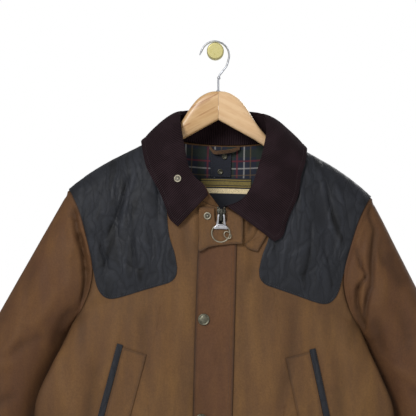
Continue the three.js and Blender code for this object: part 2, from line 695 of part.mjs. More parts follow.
// Moves a point out until it is clear of the shoulder's crest and the panel below it
function clearOfBody(point, least) {
  const clearance = least * (1 + crestExtra * (1 - smooth(Math.abs(point.y) / crestDepth)))
  const q = Math.min(1, Math.abs(point.x) / shoulderHalf)
  const ridge = ridgeZ(Math.abs(point.x))
  const column = point.y < 0 ? 'front' : 'back'
  const bow = (1 - q ** roundness) ** (1 / roundness)
  const extra = read(fullness, 'drop', Math.max(0, ridge - point.z), column) * bow
  const reachY = crestDepth + extra + clearance
  const reachZ = crestDrop + clearance
  const middleZ = ridge - crestDrop
  const high = Math.max(0, (point.z - middleZ) / reachZ)
  const size = Math.hypot(point.y / reachY, high)
  if (size >= 1) return point
  point.y /= size
  if (high > 0) point.z = middleZ + (point.z - middleZ) / size
  return point
}

function fallNormal(at, t) {
  const step = 0.004
  const low = Math.max(0, t - step)
  const across = fallPoint(Math.min(1, at + step), t).sub(fallPoint(Math.max(0, at - step), t))
  return across.cross(fallPoint(at, low + 2 * step).sub(fallPoint(at, low))).normalize()
}

// Normals of a grid from its own neighbouring points
function withNormals(points, sign) {
  return points.map((column, i) =>
    column.map((point, j) => {
      const left = points[Math.max(0, i - 1)][j]
      const right = points[Math.min(points.length - 1, i + 1)][j]
      const up = column[Math.max(0, j - 1)]
      const down = column[Math.min(column.length - 1, j + 1)]
      const normal = right.clone().sub(left).cross(down.clone().sub(up))
      return { point, normal: normal.multiplyScalar(sign).normalize() }
    })
  )
}
const fallSteps = [0, 0.08, 0.2, 0.36, 0.56, 0.78, 1]
const fallHalf = [
  0, 0.04, 0.08, 0.12, 0.16, 0.2, 0.235, 0.258, 0.272, 0.284, 0.295, 0.308, 0.325, 0.35,
  0.395, 0.445,
]
const fallStations = [...fallHalf, 0.5, ...fallHalf.map(at => 1 - at).reverse()]
const fallGrid = withNormals(fallStations.map(at => fallSteps.map(t => fallPoint(at, t))), 1)
add(garment, 'collar_fall', slab(fallGrid, -cordWall, 0), 'corduroy')

const standSteps = [0, 0.34, 0.67, 1]
const standTopGap = cordWall + 2.6 * gap
const standFootGap = 0.9
const standGrid = withNormals(
  neckPoints.map((neck, i) => {
    const fold = collarPoint('fold', neckAt[i])
    const under = fallNormal(neckAt[i], 0).multiplyScalar(-standTopGap)
    const top = fold.clone().add(under)
    const rise = top.clone().sub(neck).normalize()
    const foot = neck.clone().addScaledVector(rise, standFootGap)
    return standSteps.map(t => foot.clone().lerp(top, t))
  }),
  -1
)
add(garment, 'collar_stand', slab(standGrid, -standWall, 0), 'corduroy')

// Strap loop that hangs from the back neck seam
const loopPath = new THREE.CatmullRomCurve3(
  [[-22, 31.2, -151], [-14, 29, -159], [4, 28, -162], [20, 29, -156], [27, 31.2, -150]].map(vector)
)
const strapSection = new THREE.Shape([
  new THREE.Vector2(-3, -1), new THREE.Vector2(3, -1),
  new THREE.Vector2(3, 1), new THREE.Vector2(-3, 1),
])
const loopShape = new THREE.ExtrudeGeometry(strapSection, { extrudePath: loopPath, steps: 14 })
add(garment, 'hanging_loop', loopShape, 'brownTape')

// Studs: a lathe shape along the cloth's normal
function stud(name, place, profile, finish) {
  const lathe = new THREE.LatheGeometry(profile.map(([r, h]) => new THREE.Vector2(r, h)), 12)
  const turn = new THREE.Quaternion().setFromUnitVectors(new THREE.Vector3(0, 1, 0), place.normal)
  const mesh = add(garment, name, lathe, finish)
  mesh.quaternion.copy(turn)
  mesh.position.copy(place.point)
}
const capProfile = r => [
  [0, 0], [r * 0.92, 0], [r, 0.6], [r, 1.5], [r * 0.86, 2.1], [r * 0.74, 1.7],
  [r * 0.45, 2.3], [0, 2.6],
]
const ringProfile = r => [
  [0, 0], [r * 0.94, 0], [r, 0.7], [r * 0.86, 1.6], [r * 0.62, 1.4], [r * 0.5, 0.7], [0, 0.7],
]
const studSpacing = 155
const studGap = 0.5
for (let i = 0; i < 4; i++) {
  const place = bodyPlace(-1, -20.3, -417.5 - studSpacing * i, flyOuter + studGap)
  stud(`fly_stud_${i + 1}`, place, capProfile(9), 'agedBrass')
}
stud('ring_stud_throat', bodyPlace(-1, -18.3, -257, flapOuter + studGap), ringProfile(6), 'agedBrass')

const collarStudAt = 0.155
const collarStudT = 0.52
const studNormal = fallNormal(collarStudAt, collarStudT)
const studPoint = fallPoint(collarStudAt, collarStudT).addScaledVector(studNormal, 2 * gap)
const studPlace = { point: studPoint, normal: studNormal }
stud('ring_stud_collar', studPlace, ringProfile(6), 'agedBrass')

for (const [name, x, z, profile] of [
  ['tab_stud_ring', 3, -163.5, ringProfile(4.6)],
  ['tab_stud_brass', 0.5, -187.5, ringProfile(4.4)],
]) {
  const { point, normal } = bodyPlace(1, x, z, tagOuter - tabWall - studGap)
  stud(name, { point, normal: normal.negate() }, profile, 'agedBrass')
}

// Zip slider, its puller, and the ring on the puller. The puller turns about a pin in the
// slider's bridge, and the ring about its straight top inside the puller's barrel.
const sliderZ = -250.7
const pivotOut = 6.9
const pivotZ = -251.5
const barrelZ = -273.7
const zipFace = bodyPoint(-1, 1, 0, wAt(ridgeTopZ - ridgeSlope * zipGapHalf - sliderZ)).y
const pivotY = zipFace - pivotOut
const box = (width, depth, height, x, y, z) =>
  solidOf(new THREE.BoxGeometry(width, depth, height).translate(x, y, z))
const rodX = (radius, length, x, y, z) =>
  solidOf(
    new THREE.CylinderGeometry(radius, radius, length, 16).rotateZ(quarter).translate(x, y, z)
  )

const sliderBody = box(13.6, 3, 10.4, zipX, zipFace - 2.1, sliderZ)
const bridge = box(4.2, 6.4, 7.6, zipX, zipFace - 6, pivotZ + 0.3)
const sliderPin = rodX(1.35, 20, zipX, pivotY, pivotZ)
add(garment, 'zip_slider', geometryOf(sliderBody.add(bridge).subtract(sliderPin)), 'silver')

const prongX = 4.5
const prongWidth = 2.6
const prongThick = 2
const barrelHalf = 10
const barrelHeight = 7.6
const barrelThick = 4
const ringWire = 1.15
let puller = rodX(1, 2 * prongX + prongWidth, zipX, pivotY, pivotZ)
const prongEnd = barrelZ + barrelHeight / 2 - 0.5
for (const side of [-1, 1]) {
  const length = pivotZ + 1.2 - prongEnd
  const x = zipX + side * prongX
  puller = puller.add(box(prongWidth, prongThick, length, x, pivotY, pivotZ + 1.2 - length / 2))
}
puller = puller
  .add(box(2 * barrelHalf, barrelThick, barrelHeight, zipX, pivotY, barrelZ))
  .subtract(rodX(ringWire + gap, 3 * barrelHalf, zipX, pivotY, barrelZ))
add(garment, 'zip_puller', geometryOf(puller), 'silver')

// The ring's path: a straight top and a round bottom, and a wire round that path
const ringRadius = 14
const ringCentreZ = -283
const ringTopHalf = 10.6
const wireSides = 6
function ringPath() {
  const rise = barrelZ - ringCentreZ
  const start = Math.atan2(rise, Math.sqrt(ringRadius ** 2 - rise ** 2))
  const arcSteps = 22
  const path = []
  for (let i = 0; i <= arcSteps; i++) {
    const turn = start - ((Math.PI + 2 * start) * i) / arcSteps
    path.push([ringRadius * Math.cos(turn), ringCentreZ + ringRadius * Math.sin(turn)])
  }
  path.push([-ringTopHalf + 0.9, barrelZ], [0, barrelZ], [ringTopHalf - 0.9, barrelZ])
  return path.map(([x, z]) => new THREE.Vector3(zipX + x, pivotY, z))
}
function wireLoop(path, radius) {
  const count = path.length
  const grid = path.map((point, i) => {
    const along = path[(i + 1) % count].clone().sub(path[(i + count - 1) % count]).normalize()
    const side = new THREE.Vector3(0, 1, 0).cross(along)
    return Array.from({ length: wireSides }, (_, k) => {
      const turn = (k / wireSides) * 2 * Math.PI
      return point.clone()
        .addScaledVector(side, radius * Math.cos(turn))
        .add(new THREE.Vector3(0, radius * Math.sin(turn), 0))
    })
  })
  const indices = []
  for (let i = 0; i < count; i++) {
    for (let k = 0; k < wireSides; k++) {
      const a = i * wireSides + k
      const b = i * wireSides + ((k + 1) % wireSides)
      const c = ((i + 1) % count) * wireSides + ((k + 1) % wireSides)
      const d = ((i + 1) % count) * wireSides + k
      indices.push(a, b, c, a, c, d)
    }
  }
  return facingOut(grid.flat().flatMap(point => point.toArray()), indices)
}
add(garment, 'zip_ring', wireLoop(ringPath(), ringWire), 'agedBrass')

// Hanger: two wooden halves, and a wire hook in a hole where they meet
const hangerX = 4.6
const hangerTopZ = -62.6
const hangerShape = [
  { x: gap / 2, top: hangerTopZ, bottom: -107.5, halfDepth: 9 },
  { x: 10, top: -63.2, bottom: -112.9, halfDepth: 9 },
  { x: 20, top: -66.5, bottom: -118.4, halfDepth: 9.2 },
  { x: 32, top: -74.5, bottom: -125, halfDepth: 9.6 },
  { x: 44, top: -89, bottom: -131.7, halfDepth: 9.8 },
  { x: 56, top: -108, bottom: -138.4, halfDepth: 9.8 },
  { x: 66, top: -122, bottom: -145, halfDepth: 9.8 },
  { x: 77, top: -133.5, bottom: -152.5, halfDepth: 10 },
  { x: 100, top: -146.5, bottom: -166, halfDepth: 11.5 },
  { x: 135, top: -163.6, bottom: -184.6, halfDepth: 12 },
  { x: 165, top: -180, bottom: -201.5, halfDepth: 12 },
  { x: 188, top: -197, bottom: -214, halfDepth: 11 },
  { x: 200, top: -206, bottom: -218, halfDepth: 8 },
  { x: 204, top: -210, bottom: -216, halfDepth: 4.5 },
]
const hangerSides = 14
function hangerHalf(side) {
  const sections = hangerShape.map(({ x, top, bottom, halfDepth }) =>
    Array.from({ length: hangerSides }, (_, k) => {
      const turn = (k / hangerSides) * 2 * Math.PI
      const high = (top + bottom) / 2 + ((top - bottom) / 2) * Math.cos(turn)
      const deep = halfDepth * Math.sign(Math.sin(turn)) * Math.abs(Math.sin(turn)) ** 0.7
      return new THREE.Vector3(hangerX + side * x, deep, high)
    })
  )
  return solidOf(loft(sections))
}
const stemHoleDepth = 24
const hookWire = 1.5
const stemHole = solidOf(
  new THREE.CylinderGeometry(hookWire + gap, hookWire + gap, stemHoleDepth + 10, 16)
    .rotateX(quarter)
    .translate(hangerX, 0, hangerTopZ - stemHoleDepth / 2 + 5)
)
for (const [name, side] of [['hanger_left', -1], ['hanger_right', 1]]) {
  add(hardware, name, geometryOf(hangerHalf(side).subtract(stemHole)), 'wood')
}

const pegRadius = 13.2
const hookRadius = 22
const hookTop = pegRadius + hookWire + gap
const hookCentre = [-0.6, hookTop - hookRadius]
const onHook = degrees => {
  const turn = THREE.MathUtils.degToRad(degrees)
  return [
    hookCentre[0] + hookRadius * Math.cos(turn), 0, hookCentre[1] + hookRadius * Math.sin(turn),
  ]
}
const hookPath = new THREE.CatmullRomCurve3(
  [
    [-24.5, 0, -6.5], onHook(150), onHook(125), onHook(100), onHook(75), onHook(50), onHook(25),
    onHook(0), onHook(-18), [17.5, 0, -23], [11, 0, -32], [6.2, 0, -38.5], [hangerX, 0, -45],
    [hangerX, 0, -54], [hangerX, 0, -66], [hangerX, 0, hangerTopZ - stemHoleDepth + 1.5],
  ].map(vector),
  false, 'centripetal'
)
add(hardware, 'hanger_hook', tube(hookPath, hookWire, 8, 48), 'silver')

// Wall peg
const pegLength = 96
const pegProfile = [
  [0, 0], [pegRadius, 0], [pegRadius, pegLength - 2.5], [pegRadius - 0.8, pegLength - 0.7],
  [pegRadius - 2.5, pegLength], [0, pegLength],
]
const pegShape = new THREE.LatheGeometry(pegProfile.map(([r, h]) => new THREE.Vector2(r, h)), 32)
const object = new THREE.Group()
add(object, 'wall_peg', pegShape.rotateX(Math.PI), 'brass')

// The garment leans about its neck; the hanger hangs level from the peg
garment.position.z = -leanPoint.z
const leaning = new THREE.Group()
leaning.position.set(leanPoint.x, hangerY, leanPoint.z)
leaning.rotation.y = leanAngle
leaning.add(garment)
hardware.position.y = hangerY
object.add(leaning, hardware)

export default object
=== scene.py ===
import math
import bpy
import numpy as np
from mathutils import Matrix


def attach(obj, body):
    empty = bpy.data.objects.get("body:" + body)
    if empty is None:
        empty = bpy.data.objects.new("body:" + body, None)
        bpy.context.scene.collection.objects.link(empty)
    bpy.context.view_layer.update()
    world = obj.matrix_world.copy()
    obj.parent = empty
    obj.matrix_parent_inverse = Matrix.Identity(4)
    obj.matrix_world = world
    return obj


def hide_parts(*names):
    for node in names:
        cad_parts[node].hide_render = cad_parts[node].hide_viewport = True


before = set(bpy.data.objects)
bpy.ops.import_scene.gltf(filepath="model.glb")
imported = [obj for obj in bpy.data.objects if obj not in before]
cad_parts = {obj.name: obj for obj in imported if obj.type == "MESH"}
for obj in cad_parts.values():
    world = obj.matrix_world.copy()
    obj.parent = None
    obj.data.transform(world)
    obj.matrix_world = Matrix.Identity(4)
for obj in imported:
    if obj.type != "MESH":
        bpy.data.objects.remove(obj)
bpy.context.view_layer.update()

hang = {"leanAngle": math.radians(1.4), "leanX": 8.7, "leanZ": -154.4, "hangerY": -80.0}
wall = {"cloth": 1.6, "cord": 2.6, "stand": 2.2, "gap": 0.3}

shoulder = {
    "half": 234.0, "topZ": -85.0, "slope": 0.534, "curveFrom": 165.0, "curve": 0.0025,
    "crestDepth": 36.0, "crestDrop": 70.0, "seamBehind": 0.143, "seamHalfGap": 0.008,
    "neckHalf": 88.0, "frontNeckZ": -243.0, "backNeckZ": -147.0, "hemZ": -919.0,
    "underarmDrop": 203.0, "roundness": 2.3, "zipX": 2.7, "zipGapHalf": 3.3,
}

# drop below the tip, half width, middle of the armhole's edges, half the opening
sideShape = np.array([
    (0, 234, 0, 36), (18, 224, 0, 36), (41, 214, 0, 36), (83, 201.5, 0, 36),
    (118, 194, 0, 36), (150, 197, -1, 31), (178, 207, -4, 21), (203, 222, -11, 0),
    (223, 231, -16, 0), (245, 241, -20, 0), (273, 255, -24, 0), (326, 277, -22, 0),
    (378, 280, -14, 0), (458, 280, -4, 0), (700, 280, 0, 0)], float)

# drop below the ridge, extra depth in front and behind
fullness = np.array([
    (0, 0, 0), (40, 3, 3), (80, 9, 6), (160, 15, 9), (300, 16, 10), (450, 16, 10),
    (600, 9, 5), (760, 2, -2), (840, -1, -4)], float)

# Soft folds as fromX, fromZ, toX, toZ, half width, height, bend
frontFolds = [
    (152, -225, 197, -345, 15, -6, 0), (-150, -240, -190, -345, 15, -6, 0),
    (118, -205, 128, -372, 16, 4, 0), (-112, -205, -122, -370, 16, 4, 0),
    (205, -400, 236, -640, 20, 5, 0), (-205, -410, -228, -660, 20, 5, 0),
    (92, -400, 78, -915, 26, 5, 0), (-88, -430, -98, -915, 26, 5, 0),
    (205, -650, 196, -930, 26, 7, 0), (-200, -660, -214, -930, 26, 7, 0),
    (140, -640, 138, -930, 24, -6, 0), (-150, -670, -156, -930, 24, -6, 0),
]
backFolds = [
    (60, -230, 120, -560, 24, -5, 0), (-70, -220, -128, -590, 24, -5, 0),
    (175, -300, 205, -620, 20, 5, 0), (-170, -310, -208, -600, 20, 5, 0),
    (8, -420, -14, -930, 28, 6, 0), (120, -600, 112, -930, 26, -6, 0),
    (-118, -640, -126, -930, 26, -6, 0), (205, -600, 210, -930, 24, 6, 0),
    (-200, -620, -212, -930, 24, 6, 0),
]
sleeveFolds = [
    (228, -250, 212, -350, 13, -7, 0), (246, -290, 230, -400, 14, 5, 0),
    (262, -330, 300, -430, 15, -5, 0), (300, -440, 360, -500, 16, 5, 0),
    (420, -560, 350, -610, 18, -6, 0), (440, -620, 370, -650, 18, 5, 0),
]

# Finer creases that only the finished cloth has
frontCreases = [
    # beside the throat
    (54, -244, 46, -284, 3.5, -3.0, 0), (62, -250, 54, -276, 3, 2.0, 0), (-40, -236, -36, -300, 5, 1.6, 2),
    (-52, -262, -46, -330, 6, -1.4, 3), (48, -300, 50, -360, 6, -1.4, -2),
    # right shoulder patch
    (164, -200, 200, -304, 3.7, -3.6, 6), (150, -176, 176, -300, 3.1, 2.2, -4),
    (196, -232, 208, -290, 2.5, -2.0, 2),
    (134, -168, 118, -262, 3.1, -2.2, 5), (106, -158, 97, -250, 3.7, 2.0, -4),
    (122, -190, 140, -262, 2.5, 1.7, 3),
    (142, -258, 128, -362, 3.1, -2.4, -6), (112, -256, 100, -352, 3.1, 1.9, 4),
    (86, -262, 92, -330, 3.1, -1.5, 3),
    (156, -290, 178, -376, 3.1, -2.4, -5), (170, -312, 150, -376, 2.5, 1.7, 3),
    (208, -300, 178, -356, 3.7, -2.4, 4),
    (192, -256, 174, -330, 2.5, 2.0, -3), (178, -190, 192, -236, 2.5, 1.9, 2),
    (116, -206, 88, -232, 2.5, -1.4, 3),
    (152, -330, 120, -346, 2.5, -1.4, -3), (182, -268, 152, -286, 2.5, 1.5, 3),
    (136, -300, 104, -318, 2.5, 1.4, -3),
    # left shoulder patch
    (-142, -190, -178, -300, 3.7, -3.6, -6), (-126, -176, -152, -292, 3.1, 2.4, 4),
    (-178, -200, -200, -262, 2.5, -2.0, -2),
    (-108, -160, -96, -268, 3.1, -2.4, -5), (-88, -190, -84, -290, 3.1, 1.7, 3),
    (-134, -270, -116, -366, 3.1, -2.5, 5),
    (-100, -280, -92, -356, 2.5, 1.9, -3), (-160, -290, -180, -370, 3.1, -2.2, 4),
    (-150, -312, -136, -376, 2.5, 1.7, 2),
    (-198, -282, -168, -352, 3.7, -2.7, -4), (-158, -190, -168, -240, 2.5, 1.9, 2),
    (-122, -210, -94, -232, 2.5, -1.4, 3),
    (-184, -256, -150, -280, 2.5, 1.7, -3), (-146, -330, -112, -344, 2.5, -1.4, 3),
    (-128, -292, -100, -310, 2.5, 1.4, 3),
    # breast and waist, viewer's right
    (58, -352, 70, -520, 9, 1.6, 8), (118, -392, 96, -560, 10, -1.7, -8),
    (160, -400, 186, -520, 9, 1.5, 6), (226, -372, 212, -470, 8, -2.0, 6),
    (244, -420, 226, -560, 9, 1.8, -7), (190, -470, 222, -640, 10, -1.6, 8),
    (252, -560, 240, -760, 11, -2.4, 8), (60, -560, 50, -800, 12, 1.9, -9),
    (112, -690, 118, -905, 10, 2.0, 6), (176, -700, 166, -910, 9, -2.0, -6),
    (236, -740, 232, -915, 9, 2.2, 5), (46, -700, 58, -905, 9, -1.6, 5),
    (140, -545, 90, -590, 8, 1.3, 4), (228, -640, 176, -668, 8, -1.4, 5),
    # breast and waist, viewer's left
    (-56, -350, -66, -500, 9, 1.5, -7), (-110, -396, -92, -548, 10, -1.6, 8),
    (-154, -404, -178, -530, 9, 1.6, -6), (-224, -376, -208, -480, 8, -2.0, -6),
    (-246, -430, -228, -570, 9, 1.7, 6), (-186, -480, -214, -620, 10, -1.7, -8),
    (-254, -570, -244, -770, 11, -2.3, -7), (-62, -540, -54, -790, 12, 1.8, 8),
    (-118, -700, -126, -908, 10, 2.0, -6), (-182, -690, -174, -905, 9, -2.1, 6),
    (-238, -720, -236, -912, 9, 2.1, -5), (-50, -720, -58, -900, 9, -1.6, -5),
    (-136, -552, -88, -592, 8, 1.3, -4), (-230, -650, -180, -676, 8, -1.3, -5),
]
backCreases = [
    (-30, -190, -52, -300, 8, 1.3, 5), (34, -186, 66, -310, 8, -1.4, -6),
    (96, -190, 132, -330, 8, 1.6, 5), (-102, -196, -140, -340, 8, -1.6, -6),
    (150, -240, 190, -360, 7, -2.0, 6), (-156, -244, -192, -350, 7, 1.7, -5),
    (0, -300, -8, -470, 10, 1.4, 7), (44, -420, 30, -640, 11, -1.8, 8),
    (-60, -400, -50, -650, 11, 1.7, -8), (96, -470, 80, -700, 10, 1.6, 7),
    (-104, -480, -84, -720, 10, -1.9, 8), (156, -440, 170, -650, 9, -1.7, -6),
    (-160, -430, -172, -640, 9, 1.6, 6), (222, -420, 214, -600, 9, 1.8, 6),
    (-226, -430, -216, -610, 9, -1.8, -6), (60, -700, 66, -912, 10, 2.1, 6),
    (-66, -720, -62, -908, 10, -2.0, 6), (160, -700, 152, -910, 9, 2.0, -5),
    (-164, -710, -158, -912, 9, -1.9, 5), (248, -600, 240, -880, 10, -2.2, -6),
    (-250, -610, -240, -890, 10, 2.1, 6), (112, -600, 60, -640, 8, 1.2, 4),
    (-120, -590, -66, -626, 8, -1.2, -4),
]


def smooth(t):
    k = np.clip(t, 0, 1)
    return k * k * (3 - 2 * k)


def readTable(table, place, column):
    # cubic through the rows
    xs, ys = table[:, 0], table[:, column]
    last = len(xs) - 1
    before = np.maximum(np.arange(len(xs)) - 1, 0)
    after = np.minimum(np.arange(len(xs)) + 1, last)
    slopes = (ys[after] - ys[before]) / (xs[after] - xs[before])
    i = np.clip(np.searchsorted(xs, place), 1, last)
    span = xs[i] - xs[i - 1]
    t = np.clip((place - xs[i - 1]) / span, 0, 1)
    rise = ys[i] - ys[i - 1]
    a = slopes[i - 1] * span - rise
    b = -slopes[i] * span + rise
    return ys[i - 1] + t * rise + t * (1 - t) * (a * (1 - t) + b * t)


def foldHeight(folds, x, z):
    height = np.zeros(np.broadcast(x, z).shape)
    for fromX, fromZ, toX, toZ, halfWidth, depth, bend in folds:
        runX, runZ = toX - fromX, toZ - fromZ
        length = math.hypot(runX, runZ)
        along = ((x - fromX) * runX + (z - fromZ) * runZ) / length ** 2
        off = ((x - fromX) * runZ - (z - fromZ) * runX) / length
        off = off - bend * 4 * along * (1 - along)
        fade = np.where((along > 0) & (along < 1), 1 - (2 * along - 1) ** 4, 0)
        height += depth * fade * np.exp(-(off / halfWidth) ** 2)
    return height


noiseCells, noiseStart = 64, (31.7, 31.3)


def clothNoise(x, z, sizeX, sizeZ, seed):
    # soft seeded unevenness, in a lattice of sizeX by sizeZ millimetres
    table = np.random.default_rng(seed).uniform(-1, 1, (noiseCells, noiseCells))
    u, v = x / sizeX + noiseStart[0], z / sizeZ + noiseStart[1]
    i, j = np.floor(u).astype(int), np.floor(v).astype(int)
    s, t = smooth(u - i), smooth(v - j)
    near, far = (table[i % noiseCells, row % noiseCells] * (1 - s)
                 + table[(i + 1) % noiseCells, row % noiseCells] * s for row in (j, j + 1))
    return near * (1 - t) + far * t


def hump(distance, width):
    return np.exp(-(distance / width) ** 2)


# height, size across, size down and seed of a panel's unevenness
panelNoise = [(0.55, 34, 70, 5), (0.3, 15, 26, 9)]
# tone of the cloth from its relief: hollows take painted shade, raised cloth a paler tone that is partly
# painted highlight; seams and hem darker
panelTone = {"middle": 0.5, "fold": 0.012, "uneven": 0.10, "seam": 0.22, "halfWidth": 230, "side": 5,
             "hem": 6}


def reliefOf(face, x, z):
    folds, creases = (frontFolds, frontCreases) if face < 0 else (backFolds, backCreases)
    small = sum(height * clothNoise(x, z, wide, tall, seed + face)
                for height, wide, tall, seed in panelNoise)
    return foldHeight(folds, x, z), foldHeight(creases, x, z) + small


# paler where the cloth is raised and darker in its hollows: painted highlight and painted shade
def clothTone(small, large, uneven=panelTone["uneven"]):
    return panelTone["middle"] + uneven * small + panelTone["fold"] * large


def puckerNoise(x, z):
    return clothNoise(x * 1.7 + z, z * 1.7 - x, 9, 11, 33)


quarter = math.pi / 2
crestDepth, crestDrop = shoulder["crestDepth"], shoulder["crestDrop"]
zipX, zipGapHalf = shoulder["zipX"], shoulder["zipGapHalf"]
shoulderHalf, neckHalf = shoulder["half"], shoulder["neckHalf"]


def ridgeZ(x0):
    curve = shoulder["curve"] * np.maximum(0, x0 - shoulder["curveFrom"]) ** 2
    return shoulder["topZ"] - shoulder["slope"] * x0 - curve


tipZ = float(ridgeZ(shoulderHalf))


def acrossAt(q):
    return zipGapHalf + q * (shoulderHalf - zipGapHalf)


def wAt(drop):
    near = np.arccos(np.clip(1 - drop / crestDrop, -1, 1)) / quarter
    return np.where(drop < crestDrop, near, 1 + (drop / crestDrop - 1) / quarter)


neckQ = (neckHalf - zipGapHalf) / (shoulderHalf - zipGapHalf)
underarmW = float(wAt(shoulder["underarmDrop"]))


# The body's surface: q from the zip to the outer edge, w from the ridge down
def bodyPoint(face, side, q, w, fine=1.0):
    q, w = np.broadcast_arrays(np.asarray(q, float), np.asarray(w, float))
    ridge = ridgeZ(acrossAt(q))
    drop = np.where(w < 1, crestDrop * (1 - np.cos(w * quarter)), crestDrop * (1 + (w - 1) * quarter))
    sideDrop = drop / (ridge - shoulder["hemZ"]) * (tipZ - shoulder["hemZ"])
    turn = np.where(w < 1, np.sin(w * quarter), 1)
    opening = np.maximum(wall["gap"] / 2, readTable(sideShape, sideDrop, 3))
    rim = np.where(w < 1, face * crestDepth * turn, readTable(sideShape, sideDrop, 2) + face * opening)
    full = face * (crestDepth * turn + readTable(fullness, drop, 1 if face < 0 else 2))
    bow = (1 - np.clip(q, 0, 1) ** shoulder["roundness"]) ** (1 / shoulder["roundness"])
    halfWidth = readTable(sideShape, sideDrop, 1)
    x = side * (zipGapHalf + q * (halfWidth - zipGapHalf)) + zipX * (1 - q)
    z = ridge - drop
    fade = (1 - q ** 8) * smooth(w / 0.6)
    large, small = reliefOf(face, x, z)
    y = rim + (full - rim) * bow + face * fade * (large + fine * small)
    return np.stack([x, y, z], axis=-1)


def unit(v):
    return v / np.maximum(np.linalg.norm(v, axis=-1, keepdims=True), 1e-12)


def bodyNormal(face, side, q, w):
    step = 0.004
    across = bodyPoint(face, side, np.minimum(1, q + step),
                       w) - bodyPoint(face, side, np.maximum(0, q - step), w)
    down = bodyPoint(face, side, q, w + step) - bodyPoint(face, side, q, w - step)
    return unit(np.cross(across, down) * face * side)


armholeMiddle = (-2.0, tipZ - shoulder["underarmDrop"] / 2)


def armholeNormal(face, side, w):
    here = bodyPoint(face, side, 1.0, w)
    after = bodyPoint(face, side, 1.0, np.minimum(w + 0.05, underarmW))
    along = after - bodyPoint(face, side, 1.0, np.maximum(w - 0.05, 0))
    along[..., 0] = 0
    along = unit(along)
    out = np.stack([np.zeros_like(w), here[..., 1] - armholeMiddle[0], here[..., 2] - armholeMiddle[1]], -1)
    return unit(out - along * np.sum(out * along, -1, keepdims=True))


def panelNormal(face, side, q, w):
    q, w = np.broadcast_arrays(np.asarray(q, float), np.asarray(w, float))
    normal = bodyNormal(face, side, np.minimum(q, 0.999), w)
    edge = (q >= 1)[..., None]
    up, hole = (w < 0.2)[..., None], (w < underarmW - 1e-6)[..., None]
    under = (np.abs(w - underarmW) <= 1e-6)[..., None]
    outward = np.broadcast_to(np.array([side, 0.0, 0.0]), normal.shape)
    low = np.where(under, np.array([0.0, 0.0, -1.0]), outward)
    rim = np.where(hole, armholeNormal(face, side, np.minimum(w, underarmW)), low)
    return np.where(edge & ~up, rim, normal)


def findOnBody(face, side, x, z):
    q = np.clip(np.abs(x) / shoulderHalf, 0, 1)
    w = np.ones_like(q)
    for _ in range(24):
        w = wAt(np.maximum(0, ridgeZ(acrossAt(q)) - z))
        q = np.clip(q + side * (x - bodyPoint(face, side, q, w)[..., 0]) / shoulderHalf, 0, 1)
    return q, w


# A place of the front view on the body, moved out along the cloth's normal
def bodyPlace(face, x, z, out=0.0):
    x, z = np.broadcast_arrays(np.asarray(x, float), np.asarray(z, float))
    points, normals = np.zeros(x.shape + (3,)), np.zeros(x.shape + (3,))
    for side in (-1, 1):
        mine = (x < zipX) if side < 0 else (x >= zipX)
        if mine.any():
            q, w = findOnBody(face, side, x[mine], z[mine])
            points[mine] = bodyPoint(face, side, q, w)
            normals[mine] = bodyNormal(face, side, q, w)
    return points + normals * np.asarray(out)[..., None], normals


def topW(face, q):
    x0 = acrossAt(q)
    neckZ = shoulder["frontNeckZ"] if face < 0 else shoulder["backNeckZ"]
    dip = (ridgeZ(neckHalf) - neckZ) * np.sqrt(np.clip(1 - (x0 / neckHalf) ** 2, 0, 1))
    behind = shoulder["seamBehind"] * smooth((x0 - neckHalf) / 40)
    outside = -behind if face < 0 else behind + shoulder["seamHalfGap"]
    return np.where(q < neckQ - 1e-9, wAt(ridgeZ(x0) - ridgeZ(neckHalf) + dip), outside)


def toWorld(points):
    c, s = math.cos(hang["leanAngle"]), math.sin(hang["leanAngle"])
    x, y, z = points[..., 0], points[..., 1], points[..., 2] - hang["leanZ"]
    return np.stack([hang["leanX"] + x * c + z * s, y + hang["hangerY"], hang["leanZ"] + z * c - x * s],
                    -1) / 1000


def gridNormals(points, around=False):
    if around:
        across = np.roll(points, -1, 0) - np.roll(points, 1, 0)
    else:
        across = np.gradient(points, axis=0)
    return unit(np.cross(across, np.gradient(points, axis=1)))


surfaceOf = {}  # the visible face of each cloth piece, for its sewing


def newObject(name, data):
    made = bpy.data.objects.new(name, data)
    bpy.context.collection.objects.link(made)
    return made


